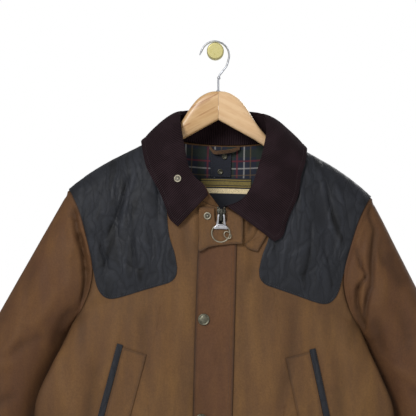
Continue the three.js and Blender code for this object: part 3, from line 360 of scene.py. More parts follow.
# A closed thin shell between two offsets of a grid, with UVs in metres
def shellMesh(name, points, normals, inner, outer, around=False, tone=None, faceIn=False):
    columns, rows = points.shape[:2]
    layers = [points + normals * np.asarray(offset)[..., None] for offset in (outer, inner)]
    cornersAt = toWorld(np.concatenate([layer.reshape(-1, 3) for layer in layers]))
    ids = np.arange(2 * columns * rows).reshape(2, columns, rows)
    if around:
        ids = np.concatenate([ids, ids[:, :1]], axis=1)
    def quads(a, b, c, d):
        return np.stack([a, b, c, d], -1).reshape(-1, 4)
    o, i = ids[0], ids[1]
    faces = [quads(o[:-1, :-1], o[:-1, 1:], o[1:, 1:], o[1:, :-1]),
             quads(i[:-1, :-1], i[1:, :-1], i[1:, 1:], i[:-1, 1:]),
             quads(o[:-1, 0], o[1:, 0], i[1:, 0], i[:-1, 0]),
             quads(o[:-1, -1], i[:-1, -1], i[1:, -1], o[1:, -1])]
    if not around:
        faces += [quads(o[0, :-1], i[0, :-1], i[0, 1:], o[0, 1:]),
                  quads(o[-1, :-1], o[-1, 1:], i[-1, 1:], i[-1, :-1])]
    faces = np.concatenate(faces)
    surfaceOf[name] = toWorld(points + normals
                              * (np.asarray(inner if faceIn else outer)
                                 + (-0.12 if faceIn else 0.12))[..., None])
    a, b, c, d = (cornersAt[faces[:, k]] for k in range(4))
    volume = np.sum(a * np.cross(b, c)) + np.sum(a * np.cross(c, d))
    if volume < 0:
        faces = faces[:, ::-1]
    mesh = bpy.data.meshes.new(name)
    mesh.from_pydata(cornersAt.tolist(), [], faces.tolist())
    runAcross = np.cumsum(np.r_[0, np.linalg.norm(np.diff(points, axis=0), axis=-1).mean(1)])
    runDown = np.cumsum(np.r_[0, np.linalg.norm(np.diff(points, axis=1), axis=-1).mean(0)])
    u, v = np.meshgrid(runAcross, runDown, indexing="ij")
    cornerUv = np.tile(np.stack([u, v], -1).reshape(-1, 2) / 1000, (2, 1))
    layer = mesh.uv_layers.new(name="clothRun")
    loops = np.zeros(len(mesh.loops), int)
    mesh.loops.foreach_get("vertex_index", loops)
    layer.data.foreach_set("uv", cornerUv[loops].ravel())
    if tone is not None:
        # per-point tone: rubbed wax and darker seams, with painted highlight on ridges and painted shade in
        # hollows
        attribute = mesh.attributes.new("creaseWearAndShade", "FLOAT", "POINT")
        attribute.data.foreach_set("value", np.tile(np.asarray(tone).ravel(), 2))
    mesh.shade_smooth()
    mesh.set_sharp_from_angle(angle=math.radians(58))
    return newObject(name, mesh)


def dress(piece, material, slot, *nodes, body="jacket"):
    piece.data.materials.clear()
    piece.data.materials.append(material)
    if nodes:
        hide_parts(*nodes)
    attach(piece, body)
    return piece


def fromHex(code):
    parts = [int(code[k:k + 2], 16) / 255 for k in (0, 2, 4)]
    return tuple(p / 12.92 if p <= 0.04045 else ((p + 0.055) / 1.055) ** 2.4 for p in parts) + (1.0,)


def addNode(tree, kind, inputs=None, out=0, **settings):
    # a shader node unless the kind names its family; gives one output, or the node itself
    node = tree.nodes.new(kind if "Node" in kind else "ShaderNode" + kind)
    for key, value in settings.items():
        setattr(node, key, value)
    for key, value in (inputs or {}).items():
        if isinstance(value, bpy.types.NodeSocket):
            tree.links.new(value, node.inputs[key])
        else:
            node.inputs[key].default_value = value
    return node if out is None else node.outputs[out]


def startMaterial(name, **fixed):
    material = bpy.data.materials.new(name)
    material.use_nodes = True
    tree = material.node_tree
    shader = tree.nodes["Principled BSDF"]
    for key, value in fixed.items():
        shader.inputs[key].default_value = value
    return material, tree, shader


def finishMaterial(material, colour, bump):
    tree = material.node_tree
    shader = tree.nodes["Principled BSDF"]
    tree.links.new(colour, shader.inputs["Base Color"])
    tree.links.new(bump, shader.inputs["Normal"])
    return material


def mixColour(tree, factor, a, b):
    return addNode(tree, "Mix", {0: factor, 6: a, 7: b}, data_type="RGBA", out=2)


def mapRange(tree, value, low, high, toLow, toHigh):
    return addNode(tree, "MapRange", {0: value, 1: low, 2: high, 3: toLow, 4: toHigh})


# Finishes: sRGB colours of each cloth, roughness from rubbed to dry
panelBrown = {"base": "573d24", "light": "755530", "warm": "4c311f", "dark": "1e140c",
              "roughness": (0.62, 0.8), "gloss": 0.2, "cloud": 7.0, "cracks": 0.05}
flyBrown = {**panelBrown, "base": "503420", "light": "66472b", "warm": "482a1c"}
sleeveBrown = {**panelBrown, "base": "4f341f", "light": "664727", "warm": "46291b", "dark": "19100a"}
waxedCharcoal = {"base": "191a1d", "light": "2b2d33", "warm": "17171a", "dark": "070708",
                 "roughness": (0.5, 0.68), "gloss": 0.15, "cloud": 11.0, "cracks": 0.9}


def waxedCloth(name, look):
    material, tree, shader = startMaterial(name, **{"Specular IOR Level": look["gloss"]})
    place = addNode(tree, "TexCoord", out="Object")
    stretched = addNode(tree, "Mapping", {"Vector": place, "Scale": (46, 46, 9)})
    streaks = addNode(tree, "TexNoise",
                      {"Vector": stretched, "Scale": 1.0, "Detail": 6.0, "Roughness": 0.62})
    clouds = addNode(tree, "TexNoise", {"Vector": place, "Scale": look["cloud"], "Detail": 3.0})
    specks = addNode(tree, "TexNoise", {"Vector": place, "Scale": 420.0, "Detail": 3.0})
    tone = addNode(tree, "Attribute", attribute_name="creaseWearAndShade", out="Fac")
    # wax worn lighter in vertical streaks, and warmer in broad clouds
    colour = mixColour(tree, mapRange(tree, streaks, 0.42, 0.72, 0, 0.5), fromHex(look["base"]),
                       fromHex(look["light"]))
    colour = mixColour(tree, mapRange(tree, clouds, 0.42, 0.72, 0, 0.45), colour, fromHex(look["warm"]))
    # ridges paler, partly rubbed wax and partly painted highlight; troughs, stitch valleys and the edges of
    # laid-on pieces take painted shade, and seams are darker
    colour = mixColour(tree, mapRange(tree, tone, 0.5, 1.0, 0, 0.75), colour, fromHex(look["light"]))
    colour = mixColour(tree, mapRange(tree, tone, 0.5, 0.0, 0, 0.85), colour, fromHex(look["dark"]))
    colour = mixColour(tree, mapRange(tree, specks, 0.35, 0.65, 0, 0.18), colour, fromHex(look["dark"]))
    # the wax breaks along a loose net of long slanting creases
    wander = addNode(tree, "TexNoise", {"Vector": place, "Scale": 22.0, "Detail": 3.0}, out=1)
    bent = addNode(tree, "VectorMath", {0: wander, 1: (0.035, 0.0, 0.035)}, operation="MULTIPLY")
    moved = addNode(tree, "VectorMath", {0: place, 1: bent}, operation="ADD")
    netPlace = addNode(tree, "Mapping", {"Vector": moved, "Scale": (52, 7, 15)})
    net = addNode(tree, "TexVoronoi", {"Vector": netPlace, "Scale": 1.0}, feature="DISTANCE_TO_EDGE")
    crack = mapRange(tree, net, 0.0, 0.07, 0.8 * look["cracks"], 0)
    colour = mixColour(tree, crack, colour, fromHex(look["dark"]))
    rub = mapRange(tree, net, 0.16, 0.26, 0.35 * look["cracks"], 0)
    colour = mixColour(tree, rub, colour, fromHex(look["light"]))
    tree.links.new(mapRange(tree, streaks, 0.3, 0.7, *look["roughness"]), shader.inputs["Roughness"])
    run = addNode(tree, "UVMap", uv_map="clothRun")
    # close plain weave, two threads to the millimetre
    warp = addNode(tree, "TexWave", {"Vector": run, "Scale": 628.0, "Distortion": 0.6}, bands_direction="X",
                   out=1)
    weft = addNode(tree, "TexWave", {"Vector": run, "Scale": 628.0, "Distortion": 0.6}, bands_direction="Y",
                   out=1)
    weave = addNode(tree, "Math", {0: warp, 1: weft}, operation="MULTIPLY")
    fine = addNode(tree, "Bump", {"Height": weave, "Strength": 0.25, "Distance": 0.00008})
    # small crumples left in the wax
    crumples = addNode(tree, "TexNoise", {"Vector": place, "Scale": 85.0, "Detail": 4.0, "Roughness": 0.55})
    folded = addNode(tree, "Bump",
                     {"Height": mapRange(tree, net, 0, 0.3, 0, 1), "Strength": look["cracks"],
                      "Distance": 0.0016, "Normal": fine})
    bump = addNode(tree, "Bump", {"Height": crumples, "Strength": 0.5, "Distance": 0.0012,
                                  "Normal": folded})
    return finishMaterial(material, colour, bump)


waxedCotton = waxedCloth("oliveBrownWaxedCotton", panelBrown)
flyCotton = waxedCloth("reddishBrownWaxedCotton", flyBrown)
sleeveCotton = waxedCloth("deepBrownWaxedCotton", sleeveBrown)
charcoalCotton = waxedCloth("charcoalWaxedCotton", waxedCharcoal)

corduroyLook = {"pile": "251a1d", "grooveShade": "040203", "rub": "2d2125", "wale": 0.0028}


def corduroyCloth():
    material, tree, shader = startMaterial("aubergineCorduroy",
                                           **{"Roughness": 0.92, "Sheen Weight": 0.05,
                                              "Sheen Roughness": 0.5, "Specular IOR Level": 0.06})
    run = addNode(tree, "UVMap", uv_map="clothRun")
    wales = addNode(tree, "TexWave",
                    {"Vector": run, "Scale": 0.314159 / corduroyLook["wale"], "Distortion": 0.25,
                     "Detail": 1.0}, bands_direction="X", out=1)
    place = addNode(tree, "TexCoord", out="Object")
    rubbed = addNode(tree, "TexNoise", {"Vector": place, "Scale": 26.0, "Detail": 4.0})
    fuzz = addNode(tree, "TexNoise", {"Vector": place, "Scale": 900.0, "Detail": 2.0})
    # round pile ribs with painted shade in the grooves between them, rubbed paler in patches
    colour = mixColour(tree, mapRange(tree, wales, 0.1, 0.6, 0, 1), fromHex(corduroyLook["grooveShade"]),
                       fromHex(corduroyLook["pile"]))
    colour = mixColour(tree, mapRange(tree, rubbed, 0.45, 0.75, 0, 0.6), colour,
                       fromHex(corduroyLook["rub"]))
    shader.inputs["Sheen Tint"].default_value = fromHex("6a5a60")
    pile = addNode(tree, "Bump", {"Height": fuzz, "Strength": 0.4, "Distance": 0.0003})
    bump = addNode(tree, "Bump", {"Height": wales, "Strength": 0.8, "Distance": 0.0006, "Normal": pile})
    return finishMaterial(material, colour, bump)


corduroy = corduroyCloth()

# A plain generic check: direction, repeat, centre, half width in mm, colour, strength
checkLook = {"ground": "1a2030", "stripes": [
    ("X", 46, 9, 5.5, "202a22", 0.8), ("Y", 52, 12, 6.5, "202a22", 0.8),
    ("X", 46, 30, 1.0, "a9a6a2", 0.55), ("Y", 52, 37, 1.0, "a9a6a2", 0.55),
    ("X", 46, 19, 1.3, "5c1c2a", 0.8), ("Y", 52, 25, 1.3, "5c1c2a", 0.8),
    ("X", 46, 40, 0.8, "6a5432", 0.5), ("Y", 52, 48, 0.8, "6a5432", 0.5)]}


def checkedLining(name, look):
    material, tree, shader = startMaterial(name, Roughness=0.9)
    run = addNode(tree, "UVMap", uv_map="clothRun")
    parts = addNode(tree, "SeparateXYZ", {0: run}, out=None).outputs
    colour = None
    for axis, repeat, centre, halfWidth, code, strength in look["stripes"]:
        scaled = addNode(tree, "Math", {0: parts[axis], 1: 1000 / repeat}, operation="MULTIPLY")
        part = addNode(tree, "Math", {0: scaled}, operation="FRACT")
        off = addNode(tree, "Math", {0: part, 1: centre / repeat}, operation="SUBTRACT")
        away = addNode(tree, "Math", {0: off}, operation="ABSOLUTE")
        mask = mapRange(tree, away, (halfWidth + 0.25) / repeat, halfWidth / repeat, 0, strength)
        colour = mixColour(tree, mask, colour or fromHex(look["ground"]), fromHex(code))
    place = addNode(tree, "TexCoord", out="Object")
    threads = addNode(tree, "TexNoise", {"Vector": place, "Scale": 1400.0, "Detail": 2.0})
    # single threads of the twill show as tiny light and dark flecks
    colour = mixColour(tree, mapRange(tree, threads, 0.4, 0.7, 0, 0.35), colour, fromHex("0b0d14"))
    twill = addNode(tree, "TexWave", {"Vector": run, "Scale": 380.0}, bands_direction="DIAGONAL", out=1)
    bump = addNode(tree, "Bump", {"Height": twill, "Strength": 0.4, "Distance": 0.0002})
    return finishMaterial(material, colour, bump)


checkLining = checkedLining("checkedCottonLining", checkLook)


def plainWeave(name, base, fleck, threadsScale=500.0, roughness=0.85):
    material, tree, shader = startMaterial(name, Roughness=roughness)
    run = addNode(tree, "UVMap", uv_map="clothRun")
    place = addNode(tree, "TexCoord", out="Object")
    flecks = addNode(tree, "TexNoise", {"Vector": place, "Scale": 700.0, "Detail": 3.0})
    # uneven yarn, with a close rib across the strip
    colour = mixColour(tree, mapRange(tree, flecks, 0.4, 0.65, 0, 1), fromHex(base), fromHex(fleck))
    rib = addNode(tree, "TexWave", {"Vector": run, "Scale": threadsScale}, bands_direction="Y", out=1)
    bump = addNode(tree, "Bump", {"Height": rib, "Strength": 0.5, "Distance": 0.0002})
    return finishMaterial(material, colour, bump)


brownTape = plainWeave("brownWovenTape", "5a4028", "3c2a1a")
zipTapeCloth = plainWeave("zipTapeWeave", "3b3026", "241c15")
tabCloth = plainWeave("navyTabCloth", "151927", "0a0c14", 300.0)
# plain woven bands on navy: distance below the top edge, half width, colour
bandLook = {"ground": "191b24",
            "bands": [(3.0, 0.7, "8d7a3e"), (8.2, 2.9, "7f703c"), (13.4, 0.7, "8d7a3e"),
                      (20.4, 3.7, "f0dcb0")]}


def bandedLabel(name, look):
    material, tree, shader = startMaterial(name, Roughness=0.85)
    run = addNode(tree, "UVMap", uv_map="clothRun")
    down = addNode(tree, "SeparateXYZ", {0: run}, out="Y")
    colour = fromHex(look["ground"])
    for centre, halfWidth, code in look["bands"]:
        off = addNode(tree, "Math", {0: down, 1: centre / 1000}, operation="SUBTRACT")
        away = addNode(tree, "Math", {0: off}, operation="ABSOLUTE")
        colour = mixColour(tree, mapRange(tree, away, (halfWidth + 0.3) / 1000, halfWidth / 1000, 0, 1),
                           colour, fromHex(code))
    place = addNode(tree, "TexCoord", out="Object")
    threads = addNode(tree, "TexNoise", {"Vector": place, "Scale": 900.0, "Detail": 2.0})
    # damask yarn: the bands break up into fine flecks
    colour = mixColour(tree, mapRange(tree, threads, 0.45, 0.65, 0, 0.4), colour, fromHex("0f1018"))
    rows = addNode(tree, "TexWave", {"Vector": run, "Scale": 700.0}, bands_direction="Y", out=1)
    bump = addNode(tree, "Bump", {"Height": rows, "Strength": 0.4, "Distance": 0.0002})
    return finishMaterial(material, colour, bump)


labelCloth = bandedLabel("wovenLabelDamask", bandLook)
stitchThread = plainWeave("waxedSewingThread", "4a3524", "2e2016", 900.0, 0.7)
darkThread = plainWeave("charcoalSewingThread", "34353b", "1c1d21", 900.0, 0.7)
collarThread = plainWeave("plumSewingThread", "2a1d20", "140d0f", 900.0, 0.8)


def metal(name, base, dull, roughness, worn=(0.0, 0.5)):
    material, tree, shader = startMaterial(name, Metallic=1.0)
    place = addNode(tree, "TexCoord", out="Object")
    tarnish = addNode(tree, "TexNoise", {"Vector": place, "Scale": 240.0, "Detail": 5.0, "Roughness": 0.65})
    # tarnish in soft blotches, and fine handling marks in the polish
    colour = mixColour(tree, mapRange(tree, tarnish, 0.42, 0.7, *worn), fromHex(base), fromHex(dull))
    tree.links.new(mapRange(tree, tarnish, 0.3, 0.7, roughness, roughness + 0.18),
                   shader.inputs["Roughness"])
    marks = addNode(tree, "TexNoise", {"Vector": place, "Scale": 1500.0, "Detail": 2.0})
    bump = addNode(tree, "Bump", {"Height": marks, "Strength": 0.05, "Distance": 0.00005})
    return finishMaterial(material, colour, bump)


pegBrass = metal("satinPegBrass", "bcb480", "a39a5e", 0.45)
pewterBrass = metal("wornPewterBrass", "6c6a5c", "35332b", 0.4, (0.1, 0.9))
ringBrass = metal("rubbedRingBrass", "8f897a", "55513f", 0.42)
brightSteel = metal("polishedZipSteel", "b9b9bd", "6d6d72", 0.26)
darkSteel = metal("blackenedSliderSteel", "57564f", "24231f", 0.38, (0.2, 0.9))
hookSteel = metal("greyHookWire", "b2b4ba", "6c6d70", 0.34)


# long dark growth marks of a half: distance across the grain, half width, strength, from x, to x
plankLook = {"slope": math.radians(27.9),
             "left": [(-0.0602, 0.0007, 0.95, 0.006, -0.044), (-0.0627, 0.0020, 0.5, -0.004, -0.046),
                      (-0.0776, 0.0009, 0.6, 0.004, -0.034),
                      (-0.0806, 0.0008, 0.6, -0.036, -0.066), (-0.0900, 0.0006, 0.3, -0.02, -0.09)]}


def palePlank(name, side, pale, brown, marks):
    material, tree, shader = startMaterial(name,
                                           **{"Roughness": 0.42, "Coat Weight": 0.15,
                                              "Coat Roughness": 0.25})
    place = addNode(tree, "TexCoord", out="Object")
    c, sn = math.cos(plankLook["slope"]), math.sin(plankLook["slope"])
    along = addNode(tree, "VectorMath", {0: place, 1: (side * c, 0, -sn)}, operation="DOT_PRODUCT", out=1)
    across = addNode(tree, "VectorMath", {0: place, 1: (side * sn, 0, c)}, operation="DOT_PRODUCT", out=1)
    parts = addNode(tree, "SeparateXYZ", {0: place}, out=None).outputs
    grainPlace = addNode(tree, "CombineXYZ", {0: along, 1: parts["Y"], 2: across})
    stretched = addNode(tree, "Mapping", {"Vector": grainPlace, "Scale": (14, 90, 110)})
    grain = addNode(tree, "TexNoise",
                    {"Vector": stretched, "Scale": 1.5, "Detail": 6.0, "Roughness": 0.6, "Distortion": 0.5})
    pores = addNode(tree, "TexNoise", {"Vector": stretched, "Scale": 13.0, "Detail": 2.0})
    # pale beech under clear lacquer, with soft grain and short pores along each arm
    colour = mixColour(tree, mapRange(tree, grain, 0.42, 0.7, 0, 0.7), fromHex(pale), fromHex(brown))
    colour = mixColour(tree, mapRange(tree, pores, 0.6, 0.75, 0, 0.25), colour, fromHex("a9794a"))
    wander = addNode(tree, "Math", {0: mapRange(tree, grain, 0, 1, -0.0022, 0.0022), 1: across},
                     operation="ADD")
    for centre, halfWidth, strength, fromX, toX in marks:
        off = addNode(tree, "Math", {0: wander, 1: centre}, operation="SUBTRACT")
        away = addNode(tree, "Math", {0: off}, operation="ABSOLUTE")
        mark = mapRange(tree, away, halfWidth * 1.8, halfWidth * 0.4, 0, strength)
        inside = addNode(tree, "Math", {0: mapRange(tree, parts["X"], fromX, fromX - 0.006, 0, 1),
                                                  1: mapRange(tree, parts["X"], toX, toX + 0.012, 0, 1)},
                         operation="MULTIPLY")
        mask = addNode(tree, "Math", {0: mark, 1: inside}, operation="MULTIPLY")
        colour = mixColour(tree, mask, colour, fromHex("8a5a30"))
    bump = addNode(tree, "Bump", {"Height": pores, "Strength": 0.15, "Distance": 0.0003})
    return finishMaterial(material, colour, bump)


leftWood = palePlank("lacqueredBeechStreaked", -1, "b8966a", "a1794c", plankLook["left"])
rightWood = palePlank("lacqueredBeechPlain", 1, "c6a67f", "b69066", [])
print("finishes are ready")

# Camera at the photograph's level, a soft studio round it and a pale floor below
view = {"mmPerPixel": 1.55, "pixels": 416, "sensor": 36.0, "pegPixel": (215.4, 50.4), "planeY": -0.12,
        "distance": 11.0}
cameraData = bpy.data.cameras.new("camera")
camera = newObject("camera", cameraData)
middlePixel = view["pixels"] / 2
camera.location = ((middlePixel - view["pegPixel"][0]) * view["mmPerPixel"] / 1000,
                   view["planeY"] - view["distance"],
                   (view["pegPixel"][1] - middlePixel) * view["mmPerPixel"] / 1000)
camera.rotation_euler = (math.radians(90), 0, 0)
cameraData.sensor_width = view["sensor"]
cameraData.lens = view["sensor"] * view["distance"] / (view["pixels"] * view["mmPerPixel"] / 1000)
cameraData.clip_end = 50
bpy.context.scene.camera = camera

studio = bpy.data.worlds.new("paleStudio")
bpy.context.scene.world = studio
studio.use_nodes = True
studio.node_tree.nodes["Background"].inputs["Color"].default_value = (1, 1, 1, 1)
# the backdrop looks white, and lights the cloth less than the lamps do
ray = addNode(studio.node_tree, "LightPath", out="Is Camera Ray")
backdrop = mapRange(studio.node_tree, ray, 0, 1, 0.45, 1.0)
studio.node_tree.links.new(backdrop, studio.node_tree.nodes["Background"].inputs["Strength"])
bpy.context.scene.view_settings.view_transform = "Standard"


def softLight(name, place, aim, size, power):
    data = bpy.data.lights.new(name, "AREA")
    data.size, data.energy = size, power
    lamp = newObject(name, data)
    lamp.location = place
    direction = np.array(aim) - np.array(place)
    flat = math.hypot(direction[0], direction[1])
    lamp.rotation_euler = (math.atan2(flat, -direction[2]), 0,
                           math.atan2(direction[0], -direction[1]) + math.pi)


# place, what it looks at, size in metres, watts
lamps = {"keyLight": ((-1.2, -2.5, 1.1), (0, -0.1, -0.4), 0.9, 75),
         "fillLight": ((2.2, -2.2, 0.2), (0, -0.1, -0.5), 2.0, 14),
         "backLight": ((1.2, 2.6, 1.2), (0, -0.1, -0.5), 2.0, 60)}
for name, lamp in lamps.items():
    softLight(name, *lamp)

floorLook = {"half": 4, "front": -5, "back": 3, "z": -1.25}
floorMesh = bpy.data.meshes.new("studioFloor")
floorMesh.from_pydata([(x, y, floorLook["z"])
                       for x, y in ((-floorLook["half"], floorLook["front"]),
                                    (floorLook["half"], floorLook["front"]),
                                                           (floorLook["half"], floorLook["back"]),
                                    (-floorLook["half"], floorLook["back"]))],
                      [], [(0, 1, 2, 3)])
studioFloor = newObject("studioFloor", floorMesh)
floorFinish, _, floorShader = startMaterial("paleFloorPaint", Roughness=0.8)
floorShader.inputs["Base Color"].default_value = (0.86, 0.86, 0.85, 1)
floorMesh.materials.append(floorFinish)

# Panels
panelLook = {"neckColumns": 26, "outerColumns": 64, "armRows": 84, "lowRows": 150}


def panelColumns(look):
    neck = neckQ * np.sin(np.linspace(0, quarter, look["neckColumns"]))
    outer = neckQ + (1 - neckQ) * (1 - (1 - np.linspace(0, 1, look["outerColumns"])[1:]) ** 1.4)
    return np.concatenate([neck, outer])


def panelRows(face, look):
    first = -shoulder["seamBehind"] if face < 0 else shoulder["seamBehind"] + shoulder["seamHalfGap"]
    last = float(wAt(tipZ - shoulder["hemZ"]))
    return np.concatenate([np.linspace(first, underarmW, look["armRows"]),
                           np.linspace(underarmW, last, look["lowRows"])[1:]])


def panelGrid(face, side, look):
    q = panelColumns(look)[:, None]
    rows = panelRows(face, look)[None, :]
    top, bottom = topW(face, q), wAt(ridgeZ(acrossAt(q)) - shoulder["hemZ"])
    w = top + (rows - rows[0, 0]) / (rows[0, -1] - rows[0, 0]) * (bottom - top)
    q = np.broadcast_to(q, w.shape)
    points, normals = bodyPoint(face, side, q, w), panelNormal(face, side, q, w)
    large, small = reliefOf(face, points[..., 0], points[..., 2])
    seam = (hump((1 - q) * panelTone["halfWidth"], panelTone["side"])
            + hump(points[..., 2] - shoulder["hemZ"], panelTone["hem"]))
    tone = clothTone(small, large) - panelTone["seam"] * seam
    if side < 0:
        points, normals, tone = points[::-1], normals[::-1], tone[::-1]
    return points, normals, np.clip(tone, 0, 1)


for name, side in (("left", -1), ("right", 1)):
    points, normals, tone = panelGrid(-1, side, panelLook)
    piece = shellMesh("frontPanel" + name.title(), points, normals, 0, -wall["cloth"], tone=tone)
    dress(piece, waxedCotton, "waxed_cotton", "front_" + name)

backHalves = [panelGrid(1, side,
                        {**panelLook, "neckColumns": 18, "outerColumns": 52, "armRows": 60, "lowRows": 120})
              for side in (-1, 1)]
points, normals, tone = (np.concatenate([backHalves[0][k], backHalves[1][k]]) for k in range(3))
backPanel = shellMesh("backPanel", points, normals, 0, -wall["cloth"], tone=tone)
dress(backPanel, waxedCotton, "waxed_cotton", "back")
print("body panels are hung")

# Sleeves
sleeveLook = {"angle": math.radians(28.4), "cuffAngle": math.radians(13), "bendFrom": 260.0,
              "length": 633.0, "capTo": 202.0, "capPuff": 5.0, "seamGap": 0.35,
              "around": 96, "capRings": 52, "rings": 112,
              "pressFrom": 150.0, "pressOver": 60.0, "tuckUnder": 3.0, "pushBack": 15.0, "pushReach": 24.0,
              "fadeAtSeam": 14.0, "fadeAtCuff": 25.0, "unevenness": 0.55,
              "behindShift": 9, "behindFade": 1.5, "testRing": 90, "pressAtSeam": 20, "pressTo": 700,
              "seamRolls": [(1.3, 4, 3.2), (-0.9, 10, 3.5)], "middleTone": 0.52, "creaseWearAndShade": 0.24,
              "creaseHigh": 3.2, "seamTone": 0.3, "seamDark": 2.5, "cuffTone": 0.15}
sleeveShape = np.array([
    (190, 54, 41, 3), (215, 57, 41, 9), (250, 60, 42, 14), (330, 63, 42, 17),
    (420, 61, 41, 12), (520, 55, 40, 1), (633, 49, 38, -13)], float)
# finer creases of a sleeve's outer face, in the right sleeve's front view
sleeveCreases = {
    1: [(233, -230, 244, -274, 3.6, -4.4, 3), (245, -262, 240, -368, 4.3, -7.2, 3),
        (240, -356, 228, -432, 4.3, -6.4, 4),
        (212, -300, 222, -330, 2.5, -3.6, 0), (220, -322, 231, -348, 2.9, -5.6, 0),
        (231, -342, 217, -366, 3.2, -6.4, 0),
        (218, -356, 217, -400, 3.6, -6.8, 2), (217, -390, 229, -432, 3.6, -6.4, 2),
        (232, -276, 229, -420, 3.6, 2.7, 5),
        (249, -280, 262, -330, 6, -2.6, 3), (266, -304, 296, -364, 10, -3.6, 4),
        (252, -232, 268, -290, 8, 1.8, 5),
        (258, -340, 240, -420, 9, 2.6, -6), (246, -388, 262, -470, 9, -3.4, 5),
        (292, -350, 330, -430, 9, 2.4, 5),
        (276, -380, 300, -470, 9, -2.0, -6), (318, -420, 356, -500, 10, -2.4, 6),
        (272, -486, 322, -520, 9, 2.2, -6),
        (300, -520, 372, -560, 9, -2.6, -6), (340, -590, 430, -600, 8, 2.2, 7),
        (360, -640, 440, -668, 9, -2.4, -6),
        (372, -700, 452, -716, 8, 1.8, 5), (392, -752, 470, -764, 8, -1.8, -5),
        (222, -262, 218, -300, 5, 1.6, 2)],
    -1: [(227, -244, 215, -306, 5, -7.0, -2), (217, -286, 204, -354, 5, -10.0, 2),
         (205, -340, 207, -402, 6, -8.0, 3),
         (216, -250, 206, -300, 4, 3.4, -2), (208, -292, 197, -344, 4, 3.4, 2),
         (199, -336, 192, -362, 3, -2.4, 0),
         (232, -262, 226, -330, 7, 2.4, 3), (262, -236, 280, -300, 8, 1.8, -5),
         (240, -300, 232, -380, 8, 2.0, 5),
         (282, -330, 296, -400, 9, -1.9, -5), (250, -372, 290, -440, 9, 2.2, 6),
         (222, -402, 250, -470, 9, -3.0, -5),
         (300, -404, 330, -482, 9, 2.0, 5), (262, -450, 320, -482, 9, -2.4, -6),
         (304, -492, 372, -520, 9, 2.2, -6),
         (306, -540, 380, -562, 9, -2.6, 6), (350, -600, 420, -614, 8, 2.0, -6),
         (366, -650, 444, -672, 9, -2.4, 6),
         (380, -704, 450, -722, 8, 1.7, -5), (396, -760, 468, -768, 8, -1.8, 5),
         (318, -360, 350, -440, 10, -1.7, 6)],
}


def sleeveEdge(along):
    steps = 40
    here = (np.arange(steps) + 0.5) / steps * np.asarray(along)[..., None]
    bend = np.maximum(0, here - sleeveLook["bendFrom"]) / (sleeveLook["length"] - sleeveLook["bendFrom"])
    angle = sleeveLook["angle"] + (sleeveLook["cuffAngle"] - sleeveLook["angle"]) * bend
    stepRun = np.asarray(along) / steps
    return (shoulderHalf + np.sin(angle).sum(-1) * stepRun, tipZ - np.cos(angle).sum(-1) * stepRun,
            angle[..., -1])


def sleeveRings(side, along, turns):
    edgeX, edgeZ, angle = sleeveEdge(along)
    halfWidth, halfDepth, behind = (readTable(sleeveShape, along, k)[None, :] for k in (1, 2, 3))
    inward = halfWidth * (1 - np.cos(turns))[:, None]
    x = edgeX[None, :] - inward * np.cos(angle)[None, :]
    z = edgeZ[None, :] - inward * np.sin(angle)[None, :]
    front = np.sin(turns)[:, None]
    fold = foldHeight(sleeveFolds, x, z) * front
    return np.stack([side * x, behind - halfDepth * front - fold, z], -1)


